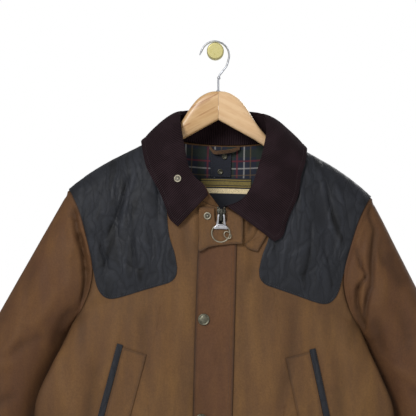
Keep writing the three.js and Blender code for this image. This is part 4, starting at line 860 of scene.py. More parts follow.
def sleevePoints(side, look):
    around = look["around"] // 2
    frontW = np.linspace(-shoulder["seamBehind"], underarmW, around)
    backW = np.linspace(underarmW, shoulder["seamBehind"] + shoulder["seamHalfGap"], around)[1:]
    start = np.concatenate([bodyPoint(-1, side, 1.0, frontW), bodyPoint(1, side, 1.0, backW)])
    turns = np.arctan2(-(start[:, 1] - armholeMiddle[0]) / crestDepth,
                       (start[:, 2] - armholeMiddle[1]) / (shoulder["underarmDrop"] / 2))
    along = np.linspace(look["capTo"], look["length"], look["rings"])
    rings = sleeveRings(side, along, turns)
    steps = np.linspace(0, 1, look["capRings"])[:-1]
    cap = start[:, None] * (1 - steps)[None, :, None] + rings[:, :1] * steps[None, :, None]
    cap[..., 1] -= look["capPuff"] * np.sin(np.pi * steps)[None, :] * np.sin(turns)[:, None]
    cap[:, 0] += unit(cap[:, 1] - cap[:, 0]) * look["seamGap"]
    points = np.concatenate([cap, rings], axis=1)
    normals = gridNormals(points, around=True)
    ring = look["testRing"]
    if np.sum(normals[:, ring] * (points[:, ring] - points[:, ring].mean(0))) < 0:
        normals = -normals
    # creases stand on the broad shape, softer behind, and die out at the seam and the cuff
    x, z = np.abs(points[..., 0]), points[..., 2]
    behindFace = np.clip(normals[..., 1], 0, 1)
    creases = foldHeight(sleeveCreases[side], x + look["behindShift"] * behindFace, z)
    creases = creases * (1 - look["behindFade"] * behindFace)
    fromSeam = np.cumsum(np.linalg.norm(np.diff(points, axis=1, prepend=points[:, :1]), axis=-1), 1)
    fade = smooth(fromSeam / look["fadeAtSeam"]) * smooth((fromSeam[:, -1:] - fromSeam) / look["fadeAtCuff"]
                                                          + 0.3)
    relief = creases + look["unevenness"] * clothNoise(x, z, 26, 48, 21 + side)
    relief = relief * np.abs(normals[..., 1]) ** 0.7 * fade
    seamRoll = sum(height * hump(fromSeam - at, wide) for height, at, wide in look["seamRolls"])
    points = points + normals * (relief + seamRoll * (fromSeam > 0))[..., None]
    # below the armhole a sleeve is pressed flat against the body's side, a little behind it
    below = smooth((tipZ - points[..., 2] - look["pressFrom"])
                   / look["pressOver"]) * smooth(fromSeam / look["pressAtSeam"])
    edgeX = readTable(sideShape, np.clip(tipZ - points[..., 2], 0, look["pressTo"]), 1) - look["tuckUnder"]
    beside = np.maximum(np.abs(points[..., 0]), edgeX)
    inFront = np.clip(-normals[..., 1], 0, 1)
    points[..., 1] += look["pushBack"] * below * inFront * np.exp(-(beside - edgeX) / look["pushReach"])
    points[..., 0] = side * (np.abs(points[..., 0]) * (1 - below) + beside * below)
    final = gridNormals(points, around=True)
    normals[:, 1:] = (final * np.sign(np.sum(final * normals, -1, keepdims=True)))[:, 1:]
    normals[:, 0] = np.concatenate([panelNormal(-1, side, 1.0, frontW), panelNormal(1, side, 1.0, backW)])
    # crease troughs take painted shade and ridges a paler tone, partly rubbed wax and partly painted
    # highlight; darker at the armhole seam and at the cuff
    tone = look["middleTone"] + look["creaseWearAndShade"] * np.tanh(relief / look["creaseHigh"])
    tone = tone - look["seamTone"] * hump(fromSeam, look["seamDark"])
    tone[:, -3:] -= look["cuffTone"]
    return points, normals, np.clip(tone, 0, 1)


for name, side in (("left", -1), ("right", 1)):
    points, normals, tone = sleevePoints(side, sleeveLook)
    piece = shellMesh("sleeve" + name.title(), points, normals, 0, -wall["cloth"], around=True, tone=tone)
    dress(piece, sleeveCotton, "waxed_cotton", "sleeve_" + name)
print("sleeves are set in")


# Pieces that lie on a panel: a grid between four edges of the front view
def lineThrough(points, count=160, rounded=True):
    points = np.asarray(points, float)
    if rounded and len(points) > 2:
        padded = np.concatenate([[2 * points[0] - points[1]], points, [2 * points[-1] - points[-2]]])
        t = np.linspace(0, 1, 14)[:-1, None]
        runs = []
        for k in range(len(points) - 1):
            a, b, c, d = padded[k:k + 4]
            runs.append(0.5 * (2 * b + (c - a) * t + (2 * a - 5 * b + 4 * c - d) * t ** 2
                               + (3 * b - a - 3 * c + d) * t ** 3))
        points = np.concatenate(runs + [points[-1:]])
    lengths = np.r_[0, np.cumsum(np.linalg.norm(np.diff(points, axis=0), axis=1))]
    at = np.linspace(0, 1, count)
    return np.stack([np.interp(at, lengths / lengths[-1], points[:, k]) for k in range(points.shape[1])],
                    -1), lengths[-1]


def edgeSteps(length, cell):
    # close steps at both ends, for a turned edge
    near = np.array([0, 0.25, 0.7, 1.4]) / length
    count = max(3, int(length / cell))
    return np.concatenate([near, np.linspace(2.6 / length, 1 - 2.6 / length, count), 1 - near[::-1]])


def coons(u, v, top, bottom, left, right):
    # the corners are the ends of the top and bottom edges
    return ((1 - v) * top + v * bottom + (1 - u) * left + u * right
            - (1 - u) * ((1 - v) * top[:1] + v * bottom[:1]) - u * ((1 - v) * top[-1:] + v * bottom[-1:]))


def betweenEdges(top, bottom, left, right, cell=3.0, rounded=(True, True, True, True)):
    lines, sizes = zip(*(lineThrough(edge, 240, soft)
                         for edge, soft in zip((top, bottom, left, right), rounded)))
    u = edgeSteps(max(sizes[0], sizes[1]), cell)[:, None]
    v = edgeSteps(max(sizes[2], sizes[3]), cell)[None, :]
    at = np.linspace(0, 1, 240)
    def on(line, t):
        return np.stack([np.interp(t, at, line[:, k]) for k in range(line.shape[1])], -1)
    flat = coons(u[..., None], v[..., None], *(on(line, t) for line, t in zip(lines, (u, u, v, v))))
    away = np.minimum(np.minimum(u, 1 - u) * max(sizes[:2]) + 0 * v,
                      np.minimum(v, 1 - v) * max(sizes[2:]) + 0 * u)
    return flat, away, u + 0 * v, v + 0 * u


edgeLook = {"turn": 0.8, "flatFrom": 1.2, "stitchWide": 1.3, "stitchUneven": 0.6, "stitchValleyShade": 0.12,
            "edgeShadeWide": 1.6}


def turnedEdge(away, radius):
    reach = np.clip(1 - away / radius, 0, 1)
    return radius * (1 - np.sqrt(1 - reach ** 2))


def layOn(name, flat, away, inner, outer, lift=0.0, sewnAt=3.0, face=-1, pucker=0.28, dark=0.25):
    x, z = flat[..., 0], flat[..., 1]
    base, normals = bodyPlace(face, x, z)
    wobble = puckerNoise(x, z)
    valley = pucker * hump(away - sewnAt, edgeLook["stitchWide"]) * (1 + edgeLook["stitchUneven"] * wobble)
    top = outer - turnedEdge(away,
                             edgeLook["turn"]) - valley + 0.22 * wobble * (away > edgeLook["flatFrom"]) + lift
    large, small = reliefOf(face, x, z)
    # painted shade along the piece's edges and in its stitch valley
    tone = clothTone(small, large) - dark * hump(away, edgeLook["edgeShadeWide"])
    tone = tone - edgeLook["stitchValleyShade"] * (valley / max(pucker, 0.01))
    return shellMesh(name, base, normals, inner + lift, top, tone=np.clip(tone, 0, 1))


def gridOn(face, flat):
    return bodyPlace(face, flat[..., 0], flat[..., 1])


def mirrorX(points):
    return [(-x, z) for x, z in points]


# Shoulder patches run over the ridge to the seam, so their grid is made on the body itself
patchLook = {"inner": [(88, -132), (84, -200), (79, -278), (68, -316), (63.5, -338)],
             "bottom": [(63.5, -338), (65, -351), (74, -361), (96, -368.5), (121, -376.6), (146, -385),
                        (163, -389), (174, -387),
                        (183, -378.5), (188.5, -366), (191.5, -352), (194, -340)],
             "outer": 1.9, "columns": 74, "rows": 96}


def patchPiece(name, side, look):
    inner, _ = lineThrough(look["inner"], look["rows"])
    bottom, _ = lineThrough(look["bottom"], look["columns"])
    innerQ, innerW = findOnBody(-1, side, side * inner[:, 0], inner[:, 1])
    bottomQ, bottomW = findOnBody(-1, side, side * bottom[:, 0], bottom[:, 1])
    innerQ[0], innerW[0] = neckQ, 0.0
    spread = 1 - (1 - np.linspace(0, 1, look["columns"])) ** 1.3
    lengths = np.r_[0, np.cumsum(np.hypot(np.diff(bottomQ) * 230, np.diff(bottomW) * 110))]
    bottomQ, bottomW = (np.interp(spread, lengths / lengths[-1], line) for line in (bottomQ, bottomW))
    bottomQ = bottomQ + (1 - bottomQ[-1]) * smooth(spread * 8 - 7)
    topQ = neckQ + (1 - neckQ) * spread
    topEdgeW = topW(-1, topQ)
    v = np.linspace(0, 1, look["rows"])
    rightW = topEdgeW[-1] + (bottomW[-1] - topEdgeW[-1]) * v
    u, v = spread[:, None], v[None, :]
    q = np.clip(coons(u, v, topQ[:, None], bottomQ[:, None], innerQ[None, :], 1.0), 0, 1)
    w = coons(u, v, topEdgeW[:, None], bottomW[:, None], innerW[None, :], rightW[None, :])
    base, normals = bodyPoint(-1, side, q, w), panelNormal(-1, side, q, w)
    across = np.linalg.norm(np.gradient(base, axis=0), axis=-1)
    downRun = np.linalg.norm(np.gradient(base, axis=1), axis=-1)
    fromInner = np.cumsum(across, 0) - across
    fromOuter = np.cumsum(across[::-1], 0)[::-1] - across
    fromBottom = np.cumsum(downRun[:, ::-1], 1)[:, ::-1] - downRun
    away = np.minimum(fromInner, fromBottom)
    x, z = base[..., 0], base[..., 2]
    wobble = puckerNoise(x, z)
    sewn = hump(away - 3, edgeLook["stitchWide"]) + 0.8 * hump(fromOuter - 4, 2.5)
    top = look["outer"] - turnedEdge(away,
                                     edgeLook["turn"]) - 0.3 * sewn * (1 + edgeLook["stitchUneven"]
                                                                       * wobble)
    top = top + 0.2 * wobble * (away > edgeLook["flatFrom"])
    large, small = reliefOf(-1, x, z)
    # painted shade in the stitch valleys, and darker along the outer edge
    tone = clothTone(small, large, 0.2) - 0.2 * sewn - 0.3 * hump(fromOuter, 3)
    if side < 0:
        base, normals, top, tone = base[::-1], normals[::-1], top[::-1], tone[::-1]
    return shellMesh(name, base, normals, wall["gap"], top, tone=np.clip(tone, 0, 1))


for name, side in (("left", -1), ("right", 1)):
    piece = patchPiece("shoulderPatch" + name.title(), side, patchLook)
    dress(piece, charcoalCotton, "dark_waxed_cotton", "shoulder_patch_" + name)
print("shoulder patches are laid on")

# Storm fly, throat flap and strap end
flyLook = {"left": [(-31, -272), (-33, -360), (-34, -500), (-33.5, -700), (-33, -912)],
           "right": [(28, -272), (28, -500), (27.5, -700), (27, -912)], "outer": 2.1, "lift": 3.0,
           "wide": 60, "openReach": 9, "ridge": 0.6, "ridgeAt": 7, "ridgeWide": 3.0,
           "waves": [(0.5, 23, 0), (0.3, 9.5, 1)]}
flat, away, u, v = betweenEdges([(-31, -272), (28, -272)], [(-33, -912), (27, -912)], flyLook["left"],
                                flyLook["right"])
uneven = 0.55 + 0.45 * clothNoise(flat[..., 1], flat[..., 1] * 0, 46, 9, 3)
openEdge = np.exp(-u * flyLook["wide"] / flyLook["openReach"]) * uneven * smooth(v * 12)
wave = 1
for height, length, shift in flyLook["waves"]:
    wave = wave + height * np.sin(flat[..., 1] / length + shift)
openEdge *= wave
sewnRidge = flyLook["ridge"] * hump((1 - u) * flyLook["wide"] - flyLook["ridgeAt"], flyLook["ridgeWide"])
# the fly's edges take a heavier painted shade
stormFly = layOn("stormFly", flat, away, wall["gap"], flyLook["outer"],
                 flyLook["lift"] * openEdge + sewnRidge, dark=0.5)
dress(stormFly, flyCotton, "waxed_cotton", "storm_fly")

flapLook = {"top": [(-32, -243), (-8, -243), (-7.6, -255), (-6.8, -264), (-2, -269), (7, -269), (12, -264),
                    (12.8, -256), (12.6, -246), (36, -257)],
            "bottom": [(-31, -312), (-27, -312.2), (-14, -305.5), (4, -302), (20.6, -300), (36.4, -299)],
            "left": [(-32, -243), (-31, -312)], "right": [(36, -257), (37, -272), (36.4, -299)],
            "inner": 2.4, "outer": 4.0}
flat, away, u, v = betweenEdges(flapLook["top"], flapLook["bottom"], flapLook["left"], flapLook["right"],
                                1.6, (False, True, True, True))
# near its left end the flap's edges are measured from top and bottom only, so its left edge is neither turned
# nor given painted shade
away = np.where(u < 0.3, np.minimum((1 - u) * 68, np.minimum(v, 1 - v) * 69), away)
flapLift = 3.4 * smooth(v * 1.6 - 0.6) * (0.7 + 0.3 * np.sin(u * 5 + 1)) + 1.6 * smooth(u * 5 - 4) + 0.4
# a heavier painted shade along the flap's other edges
throatFlap = layOn("throatFlap", flat, away, flapLook["inner"], flapLook["outer"] + 0.2, flapLift,
                   dark=0.42)
dress(throatFlap, waxedCotton, "waxed_cotton", "throat_flap")

strapLook = {"top": [(53, -291), (66, -266), (76, -273)], "bottom": [(40, -299), (45, -306), (60, -311)],
             "left": [(53, -291), (40, -299)], "right": [(76, -273), (74, -285), (60, -311)]}
flat, away, u, v = betweenEdges(strapLook["top"], strapLook["bottom"], strapLook["left"],
                                strapLook["right"], 2.0)
# a heavier painted shade along the strap's edges
throatStrap = layOn("throatStrap", flat, away, wall["gap"], 2.1, 1.6 + 1.2 * hump(v - 0.45, 0.12),
                    dark=0.42)
dress(throatStrap, waxedCotton, "waxed_cotton", "throat_strap")

# Slanting pockets: a welt and a bound mouth
pocketLook = {"top": (149, -459), "slant": (0.232, -0.973), "length": 178, "bindingHalf": 4.8,
              "weltWidth": 39}


def besideMouth(along, inboard):
    (x, z), (sx, sz) = pocketLook["top"], pocketLook["slant"]
    return (x + sx * along + sz * inboard, z + sz * along - sx * inboard)


def betweenCorners(corners, turned, cell):
    a, b, c, d = turned([besideMouth(*corner) for corner in corners])
    return betweenEdges([a, b], [c, d], [a, c], [b, d], cell)


for name, turned in (("right", list), ("left", mirrorX)):
    length, half = pocketLook["length"], pocketLook["bindingHalf"]
    start = half + wall["gap"]
    end = start + pocketLook["weltWidth"]
    flat, away, u, v = betweenCorners([(5, end), (3, start), (length - 14, end), (length - 4, start)],
                                      turned, 2.4)
    welt = layOn("pocketWelt" + name.title(), flat, away, wall["gap"], 2.0,
                 0.9 * np.exp(-(1 - u) * 42 / 10) * np.sin(np.pi * v))
    dress(welt, waxedCotton, "waxed_cotton", "pocket_welt_" + name)
    flat, away, u, v = betweenCorners([(0, half), (0, -half), (length, half), (length, -half)], turned, 1.2)
    roll = 1.1 * np.sqrt(np.clip(1 - (2 * u - 1) ** 2, 0,
                                 1)) + 0.25 * clothNoise(flat[..., 1], u * 9, 12, 9, 8)
    binding = layOn("pocketBinding" + name.title(), flat, away, wall["gap"], 2.2 + roll, 0.0, 99)
    dress(binding, charcoalCotton, "dark_waxed_cotton", "pocket_binding_" + name)
print("fly, flap and pockets are sewn on")

# Inside of the back neck
neckLining = {"half": 84, "bottom": -292, "outer": -1.9, "inner": -2.8}


def rectangle(x0, x1, z0, z1, cell):
    left, right = [(x0, z1), (x0, z0)], [(x1, z1), (x1, z0)]
    return betweenEdges([left[0], right[0]], [left[1], right[1]], left, right, cell)


neckTop = [(x, float(ridgeZ(neckHalf)) - 15 * math.sqrt(max(0, 1 - (x / neckHalf) ** 2)) - 1.4) 
           for x in range(-neckLining["half"], neckLining["half"] + 1, 12)]
feet = [(-neckLining["half"], neckLining["bottom"]), (neckLining["half"], neckLining["bottom"])]
flat, away, u, v = betweenEdges(neckTop, feet, [neckTop[0], feet[0]], [neckTop[-1], feet[1]], 3.0)
base, normals = gridOn(1, flat)
ripple = 0.3 * clothNoise(flat[..., 0], flat[..., 1], 18, 22, 14)
backLining = shellMesh("backLining", base, normals, neckLining["inner"] - np.abs(ripple),
                       neckLining["outer"], faceIn=True)
dress(backLining, checkLining, "check_lining", "lining_back")

tagOuter = neckLining["inner"] - 0.3


def tagShell(name, box, cell, thickness, rounding):
    flat, away, _, _ = rectangle(*box, cell)
    base, normals = gridOn(1, flat)
    inner = tagOuter - thickness + turnedEdge(away, rounding)
    return shellMesh(name, base, normals, inner, tagOuter - 0.45, faceIn=True)


hoodTab = tagShell("hoodTab", (-16, 17, -196, -153), 1.6, 1.9, 0.8)
dress(hoodTab, tabCloth, "check_lining", "hood_tab")
wovenLabel = tagShell("wovenLabel", (-30, 48, -248, -197), 1.8, 1.3, 0.5)
dress(wovenLabel, labelCloth, "woven_label", "label")
print("lining, tab and label are in")

# Collar: at goes round the neck from the viewer's left front end to the right one.
# Columns: at, fold x y z, edge x z, face
collarShape = np.array([
    (0.0, -18, -63, -224, -64, -275, -1), (0.05, -26, -62, -208, -77, -263, -1),
    (0.11, -39, -59, -198, -84, -247, -1), (0.17, -50, -53, -180, -98, -221, -1),
    (0.23, -57, -40, -150, -113, -188, -1), (0.27, -63, -21, -118, -120, -163, -1),
    (0.3, -66, 1, -99, -123, -150, 0), (0.35, -60, 22, -95, -112, -168, 1),
    (0.42, -37, 38, -93, -66, -180, 1), (0.5, 0, 43, -92, 0, -183, 1),
    (0.58, 39, 38, -93, 66, -180, 1), (0.65, 61, 22, -96, 114, -169, 1),
    (0.7, 68, 1, -101, 129, -153, 0), (0.73, 70, -21, -122, 130, -170, -1),
    (0.77, 65, -40, -154, 127, -196, -1), (0.83, 57, -53, -184, 119, -225, -1),
    (0.89, 48, -60, -211, 108, -260, -1), (0.95, 35, -63, -231, 101, -286, -1),
    (1.0, 13, -64, -242, 88, -294, -1)], float)
collarLook = {"lift": 6.5, "roll": 13.0, "clearance": 6.5, "crestExtra": 0.5, "around": 190, "across": 34,
              "standTopGap": 2.6 + 2.6 * 0.3, "standFootGap": 0.9}


def collarEdges():
    rows = []
    for at, foldX, foldY, foldZ, edgeX, edgeZ, face in collarShape:
        if face == 0:
            side = 1 if edgeX > 0 else -1
            q = (abs(edgeX) - zipGapHalf) / (shoulderHalf - zipGapHalf)
            edge = bodyPoint(-1, side, q, 0.0, 0.0) + bodyNormal(-1, side, q, 0.0) * collarLook["lift"]
        else:
            edge = bodyPlace(int(face), [edgeX], [edgeZ], collarLook["lift"])[0][0]
        rows.append((at, foldX, foldY, foldZ, *edge))
    return np.array(rows)


collarRows = collarEdges()


def collarPoint(part, at):
    first = 1 if part == "fold" else 4
    return np.stack([readTable(collarRows, at, first + k) for k in range(3)], -1)


def clearOfBody(points, least):
    clearance = least * (1 + collarLook["crestExtra"] * (1 - smooth(np.abs(points[..., 1]) / crestDepth)))
    q = np.clip(np.abs(points[..., 0]) / shoulderHalf, 0, 1)
    ridge = ridgeZ(np.abs(points[..., 0]))
    drop = np.maximum(0, ridge - points[..., 2])
    bow = (1 - q ** shoulder["roundness"]) ** (1 / shoulder["roundness"])
    extra = np.where(points[..., 1] < 0, readTable(fullness, drop, 1), readTable(fullness, drop, 2)) * bow
    reachY, reachZ = crestDepth + extra + clearance, crestDrop + clearance
    middleZ = ridge - crestDrop
    high = np.maximum(0, (points[..., 2] - middleZ) / reachZ)
    size = np.hypot(points[..., 1] / reachY, high)
    inside = size < 1
    moved = points.copy()
    moved[..., 1] = np.where(inside, points[..., 1] / size, points[..., 1])
    raised = middleZ + (points[..., 2] - middleZ) / size
    moved[..., 2] = np.where(inside & (high > 0), raised, points[..., 2])
    return moved


def fallPoint(at, t):
    at, t = np.broadcast_arrays(np.asarray(at, float), np.asarray(t, float))
    fold, edge = collarPoint("fold", at), collarPoint("edge", at)
    along = collarPoint("fold", np.minimum(1, at + 0.01)) - collarPoint("fold", np.maximum(0, at - 0.01))
    out = unit(np.cross(along, edge - fold))
    roll = collarLook["roll"] * (0.35 + 0.65 * smooth(np.minimum(at, 1 - at) / 0.25))
    knee = fold + (edge - fold) * 0.22 + out * roll[..., None]
    t3 = t[..., None]
    point = fold * (1 - t3) ** 2 + knee * 2 * t3 * (1 - t3) + edge * t3 ** 2
    return clearOfBody(point, collarLook["clearance"] * smooth(t / 0.4))


def fallNormal(at, t):
    step = 0.004
    low = np.maximum(0, t - step)
    across = fallPoint(np.minimum(1, at + step), t) - fallPoint(np.maximum(0, at - step), t)
    return unit(np.cross(across, fallPoint(at, low + 2 * step) - fallPoint(at, low)))


# Soft dents and swells of the fall as at, t, width along, width across, height
fallDents = [(0.03, 0.75, 0.03, 0.2, 0.9), (0.09, 0.45, 0.02, 0.3, -0.9), (0.14, 0.8, 0.02, 0.2, 0.8),
             (0.2, 0.5, 0.025, 0.3, 0.9),
             (0.26, 0.7, 0.015, 0.3, -0.8), (0.33, 0.6, 0.02, 0.25, 1.0), (0.41, 0.75, 0.03, 0.2, -0.8),
             (0.5, 0.6, 0.04, 0.3, 0.9),
             (0.59, 0.75, 0.03, 0.2, -0.9), (0.67, 0.6, 0.02, 0.3, 0.9), (0.74, 0.65, 0.018, 0.3, -1.0),
             (0.8, 0.4, 0.025, 0.3, 1.0),
             (0.86, 0.7, 0.02, 0.2, -0.8), (0.91, 0.4, 0.025, 0.3, 0.9), (0.96, 0.75, 0.02, 0.2, -0.7)]

at = np.linspace(0, 1, collarLook["around"])[:, None]
t = np.linspace(0, 1, collarLook["across"])[None, :]
at, t = np.broadcast_arrays(at, t)
fallPoints = fallPoint(at, t)
fallLength, fallWidth = 560, 70
fallNormals = gridNormals(fallPoints)
swell = sum(h * np.exp(-((at - a) / wa) ** 2 - ((t - b) / wb) ** 2) for a, b, wa, wb, h in fallDents)
fallDepth = np.linalg.norm(fallPoints[:, -1] - fallPoints[:, 0], axis=-1)[:, None]
toEdge = np.minimum((1 - t) * fallDepth, np.minimum(at, 1 - at) * fallLength)
stitchValley = 0.45 * hump(toEdge - 7, 1.8)
pileNoise = 0.25 * clothNoise(at * fallLength, t * fallWidth, 12, 16, 41)
padding = 0.8 * smooth(toEdge / 4) - stitchValley + np.maximum(swell, -0.6) + pileNoise
collarFall = shellMesh("collarFall", fallPoints, fallNormals, -wall["cord"] + 0.6
                       * (1 - smooth(toEdge / 3)), padding - 0.6 * (1 - smooth(toEdge / 1.5)))
dress(collarFall, corduroy, "corduroy", "collar_fall")


def neckLine(look):
    front = neckQ * np.sin(np.linspace(0, quarter, look["front"]))
    back = neckQ * np.sin(np.linspace(0, quarter, look["back"]))[:-1]
    parts = [(-1, -1, front), (1, -1, back[::-1]), (1, 1, back), (-1, 1, front[::-1])]
    return np.concatenate([bodyPoint(face, side, q, topW(face, q), 0.0) for face, side, q in parts])


neck = neckLine({"front": 40, "back": 26})
runs = np.r_[0, np.cumsum(np.linalg.norm(np.diff(neck, axis=0), axis=1))]
neckAt = runs / runs[-1]
standTop = collarPoint("fold", neckAt) - fallNormal(neckAt,
                                                    np.zeros_like(neckAt)) * collarLook["standTopGap"]
standFoot = neck + unit(standTop - neck) * collarLook["standFootGap"]
t = np.linspace(0, 1, 16)[None, :, None]
standPoints = standFoot[:, None] * (1 - t) + standTop[:, None] * t
standNormals = -gridNormals(standPoints)
standWave = 0.25 * clothNoise(neckAt[:, None] * 500, t[..., 0] * 45, 16, 18, 17)
collarStand = shellMesh("collarStand", standPoints, standNormals, -wall["stand"] - standWave, 0 * standWave,
                        tone=0.5 + 0.3 * standWave)
dress(collarStand, corduroy, "corduroy", "collar_stand")
# the stand's left end is faced with the panel's cloth
collarStand.data.materials.append(waxedCotton)
facedEnd = {"from": -0.03, "to": 0.012, "front": -0.08, "top": -0.205}
for face in collarStand.data.polygons:
    x, y, z = face.center
    faced = facedEnd["from"] < x < facedEnd["to"] and y < facedEnd["front"] and z < facedEnd["top"]
    face.material_index = int(faced)
print("collar is turned down")


# Hard pieces are lists of (points, faces), joined into one mesh each
def tubeParts(path, radius, sides=14, closed=False):
    path = np.asarray(path, float)
    radius = np.broadcast_to(radius, len(path))
    along = np.roll(path, -1, 0) - np.roll(path, 1, 0) if closed else np.gradient(path, axis=0)
    along = unit(along)
    first = np.cross(along, (0.0, 1.0, 0.0))
    weak = np.linalg.norm(first, axis=1) < 0.2
    first[weak] = np.cross(along[weak], (1.0, 0.0, 0.0))
    first = unit(first)
    second = np.cross(along, first)
    turn = np.linspace(0, 2 * math.pi, sides, endpoint=False)
    rings = path[:, None] + radius[:, None, None] * (first[:, None] * np.cos(turn)[None, :, None]
                                                     + second[:, None] * np.sin(turn)[None, :, None])
    return ringFaces(rings, closed)


def ringFaces(rings, closed=False):
    count, sides = rings.shape[:2]
    ids = np.arange(count * sides).reshape(count, sides)
    after = np.roll(ids, -1, axis=1)
    rows = range(count) if closed else range(count - 1)
    faces = [[ids[r, k], after[r, k], after[(r + 1) % count, k], ids[(r + 1) % count, k]] for r in rows
             for k in range(sides)]
    points = rings.reshape(-1, 3)
    if not closed:
        points = np.concatenate([points, rings[:1].mean(1), rings[-1:].mean(1)])
        faces += [[count * sides, after[0, k], ids[0, k]] for k in range(sides)]
        faces += [[count * sides + 1, ids[-1, k], after[-1, k]] for k in range(sides)]
    return points, faces


def turnedParts(profile, place, axis, sides=44):
    # a profile of radius and height, turned round an axis; its ends close on the axis
    axis = unit(np.asarray(axis, float))
    first = unit(np.cross(axis, (0.31, 0.1, 0.95)))
    second = np.cross(axis, first)
    turn = np.linspace(0, 2 * math.pi, sides, endpoint=False)
    spokes = first * np.cos(turn)[:, None] + second * np.sin(turn)[:, None]
    rings = np.array([np.asarray(place) + axis * high + spokes * radius for radius, high in profile])
    return ringFaces(rings)


def plateParts(outline, y0, y1, bevel):
    # an upright plate with rounded edges; the outline is seen from the front
    outline = np.asarray(outline, float)
    middle = outline.mean(0)
    inward = middle - outline
    inward /= np.linalg.norm(inward, axis=1, keepdims=True)
    rings = []
    for y, inset in ((y0, bevel), (y0 + 0.35 * bevel, 0.3 * bevel), (y0 + bevel, 0), (y1 - bevel, 0),
                     (y1 - 0.35 * bevel, 0.3 * bevel), (y1, bevel)):
        flat = outline + inward * inset
        rings.append(np.stack([flat[:, 0], np.full(len(flat), y), flat[:, 1]], -1))
    return ringFaces(np.array(rings))


def hardPiece(name, parts, material, slot, *nodes, body="jacket", placed=toWorld, sharp=40):
    mesh = bpy.data.meshes.new(name)
    points, faces = [], []
    for part, quads in parts:
        part = placed(np.asarray(part, float))
        volume = sum(np.dot(part[f[0]], np.cross(part[f[k]], part[f[k + 1]])) for f in quads
                     for k in range(1, len(f) - 1))
        shift = sum(len(p) for p in points)
        faces += [[int(i) + shift for i in (f if volume > 0 else f[::-1])] for f in quads]
        points.append(part)
    mesh.from_pydata(np.concatenate(points).tolist(), [], faces)
    mesh.shade_smooth()
    mesh.set_sharp_from_angle(angle=math.radians(sharp))
    return dress(newObject(name, mesh), material, slot, *nodes, body=body)


def onHanger(points):
    return (points + np.array([0, hang["hangerY"], 0])) / 1000


def onWall(points):
    return points / 1000


# Hanger: distance from the middle, top, bottom, half depth
hangerLook = {"x": 4.6, "topZ": -62.6, "sections": 70, "sides": 44, "flatness": 0.55, "edge": 0.85}
hangerShape = np.array([
    (0.15, -62.6, -107.5, 9), (10, -63.2, -112.9, 9), (20, -66.5, -118.4, 9.2), (32, -74.5, -125, 9.6),
    (44, -89, -131.7, 9.8),
    (56, -108, -138.4, 9.8), (66, -122, -145, 9.8), (77, -133.5, -152.5, 10), (100, -146.5, -166, 11.5),
    (135, -163.6, -184.6, 12),
    (165, -180, -201.5, 12), (188, -197, -214, 11), (200, -206, -218, 8), (204, -210, -216, 4.5)], float)
for name, side, wood in (("left", -1, leftWood), ("right", 1, rightWood)):
    out = np.r_[0.15, np.linspace(1.2, 200, hangerLook["sections"]), 203, 204]
    top, bottom, deep = (readTable(hangerShape, out, k)[:, None] for k in (1, 2, 3))
    turn = np.linspace(0, 2 * math.pi, hangerLook["sides"], endpoint=False)[None, :]
    up = np.sign(np.cos(turn)) * np.abs(np.cos(turn)) ** hangerLook["edge"]
    y = deep * np.sign(np.sin(turn)) * np.abs(np.sin(turn)) ** hangerLook["flatness"]
    z = (top + bottom) / 2 + (top - bottom) / 2 * up
    rings = np.stack([hangerLook["x"] + side * out[:, None] + 0 * z, y + 0 * z, z], -1)
    hardPiece("hanger" + name.title() + "Half", [ringFaces(rings)], wood, "pale_wood", "hanger_" + name,
              placed=onHanger, sharp=70)

hookLook = {"wire": 1.5, "ball": 2.6, "ballZ": -42, "centre": (-0.6, -7.0), "radius": 22.0, "stemZ": -85}
arc = [(hookLook["centre"][0] + hookLook["radius"] * math.cos(math.radians(a)),
        hookLook["centre"][1] + hookLook["radius"] * math.sin(math.radians(a)))
       for a in (150, 138, 125, 112, 100, 88, 75, 62, 50, 37, 25, 12, 0, -10, -18)]
flat, _ = lineThrough([(-24.5, -6.5)] + arc + [(17.5, -23), (11, -32), (6.2, -38.5), (4.6, -45), (4.6, -54),
                                               (4.6, -66), (4.6, hookLook["stemZ"])], 150)
hookPath = np.stack([flat[:, 0], 0 * flat[:, 0], flat[:, 1]], -1)
thickness = hookLook["wire"] * np.minimum(1, 0.45 + np.linspace(0, 12, 150))
ballTurn = np.linspace(0, math.pi, 13)
ball = turnedParts([(max(0.01, hookLook["ball"] * math.sin(a)), -hookLook["ball"] * math.cos(a))
                    for a in ballTurn], (5.4, 0, hookLook["ballZ"]), (0, 0, 1), 22)
ferrule = turnedParts([(0.01, 0), (3.4, 0), (3.4, 1.2), (2.6, 2.0), (0.01, 2.0)],
                      (4.6, 0, hangerLook["topZ"] - 0.6), (0, 0, 1), 26)
hardPiece("hangerHook", [tubeParts(hookPath, thickness, 14), ball, ferrule], hookSteel, "bright_steel",
          "hanger_hook", placed=onHanger)

pegLook = {"radius": 13.2, "length": 96.0}
r, l = pegLook["radius"], pegLook["length"]
pegProfile = [(0.01, 0), (r, 0), (r, 2), (r, l * 0.5), (r, l - 2.4), (r - 0.15, l - 1.6),
              (r - 0.5, l - 0.8), (r - 1.1, l - 0.25), (r - 2, l), (r - 2.3, l), (r * 0.5, l), (0.01, l)]
hardPiece("wallPeg", [turnedParts(pegProfile, (0, 0, 0), (0, -1, 0), 72)], pegBrass, "peg_brass",
          "wall_peg", placed=onWall, sharp=60)
print("hanger hangs on its peg")

# Zip: two tapes, teeth, slider, puller and ring
zipLook = {"top": -245, "bottom": -917, "tapeHalf": 14, "pitch": 2.6, "tooth": (3.4, 1.7, 1.25),
           "overlap": 1.15, "out": -0.7, "seed": 4}


def geometryTree(name, sockets):
    tree = bpy.data.node_groups.new(name, "GeometryNodeTree")
    tree.interface.new_socket("Path", in_out="INPUT", socket_type="NodeSocketGeometry")
    for label, kind in sockets:
        tree.interface.new_socket(label, in_out="INPUT", socket_type="NodeSocket" + kind)
    tree.interface.new_socket("Result", in_out="OUTPUT", socket_type="NodeSocketGeometry")
    return tree, addNode(tree, "NodeGroupInput",
                         out=None).outputs, addNode(tree, "NodeGroupOutput", out=None)


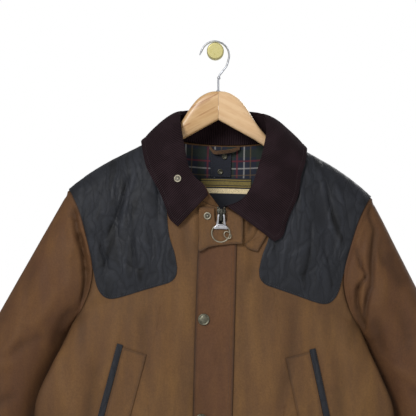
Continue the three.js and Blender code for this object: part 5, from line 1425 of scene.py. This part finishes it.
def alongPaths(tree, given, shape, scale, end):
    # one shape at each step of the paths, turned along them, made real and dressed
    curve = addNode(tree, "GeometryNodeMeshToCurve", {"Mesh": given["Path"]})
    spaced = addNode(tree, "GeometryNodeResampleCurve", {"Curve": curve, "Length": given["Pitch"]},
                     mode="LENGTH")
    tangent = addNode(tree, "GeometryNodeInputTangent")
    turned = addNode(tree, "FunctionNodeAlignRotationToVector", {"Vector": tangent}, axis="Z")
    placed = addNode(tree, "GeometryNodeInstanceOnPoints",
                     {"Points": spaced, "Instance": shape, "Rotation": turned, "Scale": scale})
    real = addNode(tree, "GeometryNodeRealizeInstances", {"Geometry": placed})
    dressed = addNode(tree, "GeometryNodeSetMaterial", {"Geometry": real, "Material": given["Finish"]})
    tree.links.new(dressed, end.inputs[0])


def sewnStitches():
    tree, given, end = geometryTree("sewnStitches",
                                    [("Pitch", "Float"), ("Half length", "Float"),
                                     ("Thread radius", "Float"), ("Seed", "Int"), ("Finish", "Material")])
    bead = addNode(tree, "GeometryNodeMeshIcoSphere", {"Radius": 1.0, "Subdivisions": 1})
    uneven = addNode(tree, "FunctionNodeRandomValue", {2: 0.82, 3: 1.08, 8: given["Seed"]},
                     data_type="FLOAT", out=1)
    half = addNode(tree, "Math", {0: given["Half length"], 1: uneven}, operation="MULTIPLY")
    scale = addNode(tree, "CombineXYZ", {0: given["Thread radius"], 1: given["Thread radius"], 2: half})
    alongPaths(tree, given, bead, scale, end)
    return tree


def zipTeeth():
    tree, given, end = geometryTree("zipTeeth",
                                    [("Pitch", "Float"), ("Width", "Float"), ("Depth", "Float"),
                                     ("Height", "Float"), ("Finish", "Material")])
    size = addNode(tree, "CombineXYZ", {0: given["Depth"], 1: given["Width"], 2: given["Height"]})
    tooth = addNode(tree, "GeometryNodeMeshCube", {"Size": size})
    alongPaths(tree, given, tooth, (1.0, 1.0, 1.0), end)
    return tree


def followPaths(name, paths, tree, values):
    # the tree's result on these paths, as one plain mesh
    points, edges = [], []
    for path in paths:
        start = sum(len(p) for p in points)
        points.append(path)
        edges += [(start + k, start + k + 1) for k in range(len(path) - 1)]
    mesh = bpy.data.meshes.new(name + "Path")
    mesh.from_pydata(np.concatenate(points).tolist(), edges, [])
    piece = newObject(name, mesh)
    modifier = piece.modifiers.new(tree.name, "NODES")
    modifier.node_group = tree
    sockets = {item.name: item.identifier for item in tree.interface.items_tree if item.in_out == "INPUT"}
    for label, value in values.items():
        modifier[sockets[label]] = value
    bpy.context.view_layer.update()
    finished = bpy.data.meshes.new_from_object(piece.evaluated_get(bpy.context.evaluated_depsgraph_get()))
    piece.modifiers.remove(modifier)
    piece.data = finished
    return piece


zipZ = np.arange(zipLook["top"], zipLook["bottom"], -6.0)
halfPitch = zipLook["pitch"] / 2
teethPaths = [toWorld(bodyPlace(-1, np.full_like(zipZ, zipX + side * zipLook["overlap"]), zipZ - shift,
                                zipLook["out"])[0])
              for side, shift in ((-1, 0), (1, halfPitch))]
width, depth, height = (v / 1000 for v in zipLook["tooth"])
teeth = followPaths("zipTeeth", teethPaths, zipTeeth(),
                    {"Pitch": zipLook["pitch"] / 1000, "Width": depth, "Depth": width, "Height": height,
                     "Finish": ringBrass})
dress(teeth, ringBrass, "aged_brass")
for name, x0, x1 in (("Left", zipX - zipLook["tapeHalf"], zipX - 0.5),
                     ("Right", zipX + 0.5, zipX + zipLook["tapeHalf"])):
    flat, away, u, v = rectangle(x0, x1, zipLook["bottom"], zipLook["top"], 3.0)
    base, normals = gridOn(-1, flat)
    tape = shellMesh("zipTape" + name, base, normals, -3.1, -1.9)
    dress(tape, zipTapeCloth, "zip_tape", "zip_tape")
print("zip is closed")

zipHard = {"sliderZ": -250.7, "pivotZ": -251.5, "barrelZ": -273.7, "pivotOut": 6.9, "ringRadius": 14.0,
           "ringCentreZ": -283.0, "wire": 1.15}
zipFace = float(bodyPoint(-1, 1, 0.0, wAt(ridgeZ(zipGapHalf) - zipHard["sliderZ"]), 0.0)[1])
pivotY = zipFace - zipHard["pivotOut"]


def aboutZip(outline, z0, side=1, x0=0.0):
    return [(zipX + side * (x0 + x), z0 + z) for x, z in outline]


crown = [(-4.6, 6.2), (-2.4, 4.4), (0, 5.6), (2.4, 4.4), (4.6, 6.2), (6.8, 3.4), (6.9, 0.4), (5.6, -3.4),
         (4.8, -5.6), (-4.8, -5.6), (-5.6, -3.4), (-6.9, 0.4), (-6.8, 3.4)]
bridge = [(-1.7, 4.4), (1.7, 4.4), (2.1, 1), (1.9, -6), (1.3, -11.5), (0, -13), (-1.3, -11.5), (-1.9, -6),
          (-2.1, 1)]
post = [(-1.9, 3.9), (1.9, 3.9), (2, -3.3), (-2, -3.3)]
shoulderTooth = [(-1.2, -1.5), (1.2, -1.5), (1.4, 1), (0, 2.2), (-1.4, 1)]
sliderParts = [plateParts(aboutZip(crown, zipHard["sliderZ"]), zipFace - 3.6, zipFace - 0.5, 0.7),
               plateParts(aboutZip(bridge, zipHard["pivotZ"]), zipFace - 5.2, zipFace - 2.6, 0.6),
               plateParts(aboutZip(post, zipHard["pivotZ"]), pivotY - 2.2, zipFace - 3, 0.6)]
sliderParts += [plateParts(aboutZip(shoulderTooth, zipHard["sliderZ"] + 6.6, side, 5.2), zipFace - 1.6,
                           zipFace + 0.3, 0.4)
                for side in (-1, 1)]
hardPiece("zipSlider", sliderParts, darkSteel, "bright_steel", "zip_slider")

prong = [(2.9, -2.2), (4.6, -2.2), (5.8, -5), (6.3, -11), (7.2, -17), (7.4, -20.5), (4.0, -20.5),
         (3.8, -17), (3.3, -8), (2.9, -4)]
eye = [(2.9, 1.8), (4.3, 2), (5, 0.6), (4.9, -2.8), (2.9, -2.8)]
prongs, eyes = ([plateParts(aboutZip(outline, zipHard["pivotZ"], side), pivotY - half, pivotY + half, bevel)
                 for side in (-1, 1)]
                for outline, half, bevel in ((prong, 1.1, 0.5), (eye, 1.3, 0.4)))
pin = tubeParts([(zipX - 4.4, pivotY, zipHard["pivotZ"]), (zipX + 4.4, pivotY, zipHard["pivotZ"])], 1.0, 14)
archLook = {"radius": 13.2, "from": math.radians(36), "to": math.radians(144), "halfFoot": 10.6,
            "footDrop": 3.2}
arch = [(zipX + archLook["radius"] * math.cos(a), zipHard["ringCentreZ"] + archLook["radius"] * math.sin(a))
        for a in np.linspace(archLook["from"], archLook["to"], 27)]
foot = zipHard["barrelZ"] - archLook["footDrop"]
arch = [(zipX + archLook["halfFoot"], foot)] + arch + [(zipX - archLook["halfFoot"], foot)]
rim = [(x, pivotY - 1.9, z) for x, z in arch[1:-1]]
barrel = tubeParts([(zipX + x, pivotY, zipHard["barrelZ"]) for x in (-9.4, -9.0, 9.0, 9.4)],
                   [2.4, 2.8, 2.8, 2.4], 20)
hardPiece("zipPuller", prongs + [plateParts(arch, pivotY - 1.7, pivotY + 1.7, 0.6), barrel,
                                 tubeParts(rim, 0.75, 10)],
          brightSteel, "bright_steel", "zip_puller", body="zip_puller")
hardPiece("zipPullerEyes", eyes + [pin], darkSteel, "bright_steel", body="zip_puller")

rise = zipHard["barrelZ"] - zipHard["ringCentreZ"]
start = math.atan2(rise, math.sqrt(zipHard["ringRadius"] ** 2 - rise ** 2))
ringTurn = np.linspace(start, -math.pi - start, 80)
loop = np.stack([zipX + zipHard["ringRadius"] * np.cos(ringTurn), np.full(80, pivotY),
                 zipHard["ringCentreZ"] + zipHard["ringRadius"] * np.sin(ringTurn)], -1)
straight = np.array([(zipX + x, pivotY, zipHard["barrelZ"]) for x in (-9.2, -4.6, 0, 4.6, 9.2)])
curlTurn = np.linspace(0, 2 * math.pi, 40, endpoint=False)
curlLook = {"x": 10.6, "z": -286.0, "wide": 5.4, "tall": 5.2, "front": 1.9, "lean": 1.2, "turn": 0.3,
            "slant": 1.6, "wire": 0.75}
curl = np.stack([zipX + curlLook["x"] + curlLook["wide"] * np.cos(curlTurn),
                 pivotY - curlLook["front"] - curlLook["lean"] * np.cos(curlTurn + curlLook["turn"]),
                 curlLook["z"] + curlLook["tall"] * np.sin(curlTurn) - curlLook["slant"]
                 * np.cos(curlTurn)], -1)
hardPiece("zipRing", [tubeParts(np.concatenate([loop, straight]), zipHard["wire"], 12, True),
                      tubeParts(curl, curlLook["wire"], 8, True)],
          ringBrass, "aged_brass", "zip_ring", body="zip_ring")
print("slider, puller and ring are on")

# Studs, turned: a domed cap with a raised rim, and an open ring
studLook = {"flyOut": 2.6, "first": -417.5, "spacing": 155.0, "x": -20.3}


def capProfile(r):
    return [(0.01, -1.5), (r * 0.9, -1.5), (r * 0.97, 0.2), (r, 0.8), (r, 1.4), (r * 0.97, 1.9),
            (r * 0.91, 2.15), (r * 0.85, 2.0), (r * 0.79, 1.6),
            (r * 0.74, 1.5), (r * 0.66, 1.75), (r * 0.5, 2.2), (r * 0.34, 2.5), (r * 0.17, 2.65),
            (0.01, 2.7)]


def ringProfile(r):
    return [(0.01, -1.5), (r * 0.9, -1.5), (r * 0.98, 0.2), (r, 0.8), (r * 0.95, 1.4), (r * 0.84, 1.75),
            (r * 0.72, 1.7), (r * 0.62, 1.3),
            (r * 0.55, 0.6), (r * 0.5, 0.4), (r * 0.26, 0.4), (r * 0.22, 0.9), (r * 0.12, 1.1), (0.01, 1.1)]


def eyeProfile(r):
    # the ring's dark socket floor
    return [(0.01, -1.0), (r * 0.53, -1.0), (r * 0.53, 0.52), (r * 0.3, 0.52), (0.01, 0.5)]


def studOn(name, profile, place, normal, metalFinish, node):
    hardPiece(name, [turnedParts(profile, place[0], normal[0])], metalFinish, "aged_brass", node, sharp=50)


for k in range(4):
    place, normal = bodyPlace(-1, [studLook["x"]], [studLook["first"] - k * studLook["spacing"]],
                              studLook["flyOut"] + 0.2)
    studOn(f"flyStud{k + 1}", capProfile(9), place, normal, pewterBrass, f"fly_stud_{k + 1}")
place, normal = bodyPlace(-1, [-18.3], [-257.0], 5.2)
studOn("throatRingStud", ringProfile(6), place, normal, ringBrass, "ring_stud_throat")
eyes = [turnedParts(eyeProfile(6), place[0], normal[0])]
normal = fallNormal(np.array([0.155]), np.array([0.52]))
place = fallPoint(np.array([0.155]), np.array([0.52])) + normal * 1.5
studOn("collarRingStud", ringProfile(6), place, normal, ringBrass, "ring_stud_collar")
hardPiece("ringStudSockets", eyes + [turnedParts(eyeProfile(6), place[0], normal[0])], darkSteel,
          "aged_brass", sharp=50)
for name, x, z, r, node in (("tabRingStud", 3.0, -163.5, 4.6, "tab_stud_ring"),
                            ("tabBrassStud", 0.5, -187.5, 4.4, "tab_stud_brass")):
    place, normal = bodyPlace(1, [x], [z], tagOuter - 2.1)
    studOn(name, ringProfile(r), place, -normal, pewterBrass, node)

# Strap loop at the back neck, a flat tape that turns as it hangs
loopLook = {"path": [(-18, 31.2, -149.5), (-10, 29, -157.5), (4, 28, -156.8), (20, 29, -153.6),
                     (29, 31.2, -149.5)], "half": 2.8, "wall": 1.6}
middleLine, _ = lineThrough(loopLook["path"], 60)
tilt = 0.5 * np.sin(np.linspace(0, math.pi, 60))
across = np.stack([0 * tilt, -np.sin(tilt), np.cos(tilt)], -1)
width = np.linspace(-1, 1, 9)[None, :, None]
loopGrid = middleLine[:, None] + across[:, None] * width * loopLook["half"]
loopNormals = gridNormals(loopGrid)
hangingLoop = shellMesh("hangingLoop", loopGrid, loopNormals, -loopLook["wall"] / 2, loopLook["wall"] / 2)
dress(hangingLoop, brownTape, "brown_tape", "hanging_loop")
print("studs and loop are on")

# Sewing: rows of stitches a set distance inside the edges
sewLook = {"pitch": 3.3, "half": 1.15, "radius": 0.34, "seed": 7}


def insetLine(name, edge, inset, trim=None):
    grid = surfaceOf[name] if edge in ("left", "right") else surfaceOf[name].transpose(1, 0, 2)
    grid = grid[::-1] if edge in ("right", "bottom") else grid
    runs = np.cumsum(np.linalg.norm(np.diff(grid, axis=0, prepend=grid[:1]), axis=-1), 0)
    line = np.array([[np.interp(inset / 1000, runs[:, j], grid[:, j, k]) for k in range(3)]
                     for j in range(grid.shape[1])])
    along = np.r_[0, np.cumsum(np.linalg.norm(np.diff(line, axis=0), axis=1))]
    ends = (inset if trim is None else trim) / 1000
    keep = (along >= ends - 1e-5) & (along <= along[-1] - ends + 1e-5)
    return line[keep]


def insetLines(name, inset, *edges):
    return [insetLine(name, edge, inset) for edge in edges]


brownSeams = insetLines("stormFly", 3, "left", "right") + insetLines("stormFly", 8, "right")
brownSeams += insetLines("throatFlap", 3, "bottom",
                         "right") + insetLines("throatStrap", 3, "bottom", "left", "right")
darkSeams = []
for side in ("Left", "Right"):
    hem = insetLine("frontPanel" + side, "bottom", 20, 4)
    brownSeams += [hem, insetLine("sleeve" + side, "bottom", 22, 0)]
    brownSeams.append(insetLine("frontPanel" + side, side.lower(), 6, 3)[120:])
    brownSeams += insetLines("pocketWelt" + side, 3, "top", "bottom", "left", "right")
    inner = "left" if side == "Right" else "right"
    darkSeams += insetLines("shoulderPatch" + side, 3, inner,
                            "bottom") + insetLines("shoulderPatch" + side, 4, "top")
    darkSeams += insetLines("pocketBinding" + side, 1.3, "left", "right")
brownSeams += [insetLine("backPanel", "bottom", 20, 2), insetLine("backPanel", "top", 5, 3)]
collarSeams = insetLines("collarFall", 7, "bottom", "left", "right")
tagSeams = insetLines("hoodTab", 2, "left", "right",
                      "bottom") + insetLines("wovenLabel", 1.6, "top", "bottom", "left", "right")
stitchTree = sewnStitches()
for name, seams, thread, slot in (("brownSewing", brownSeams, stitchThread, "waxed_cotton"),
                                  ("charcoalSewing", darkSeams, darkThread, "dark_waxed_cotton"),
                                  ("collarSewing", collarSeams, collarThread, "corduroy"),
                                  ("tagSewing", tagSeams, darkThread, "woven_label")):
    sewn = followPaths(name, [seam for seam in seams if len(seam) > 2], stitchTree,
                       {"Pitch": sewLook["pitch"] / 1000, "Half length": sewLook["half"] / 1000,
                        "Thread radius": sewLook["radius"] / 1000,
                        "Seed": sewLook["seed"], "Finish": thread})
    dress(sewn, thread, slot)
print("sewing is done")
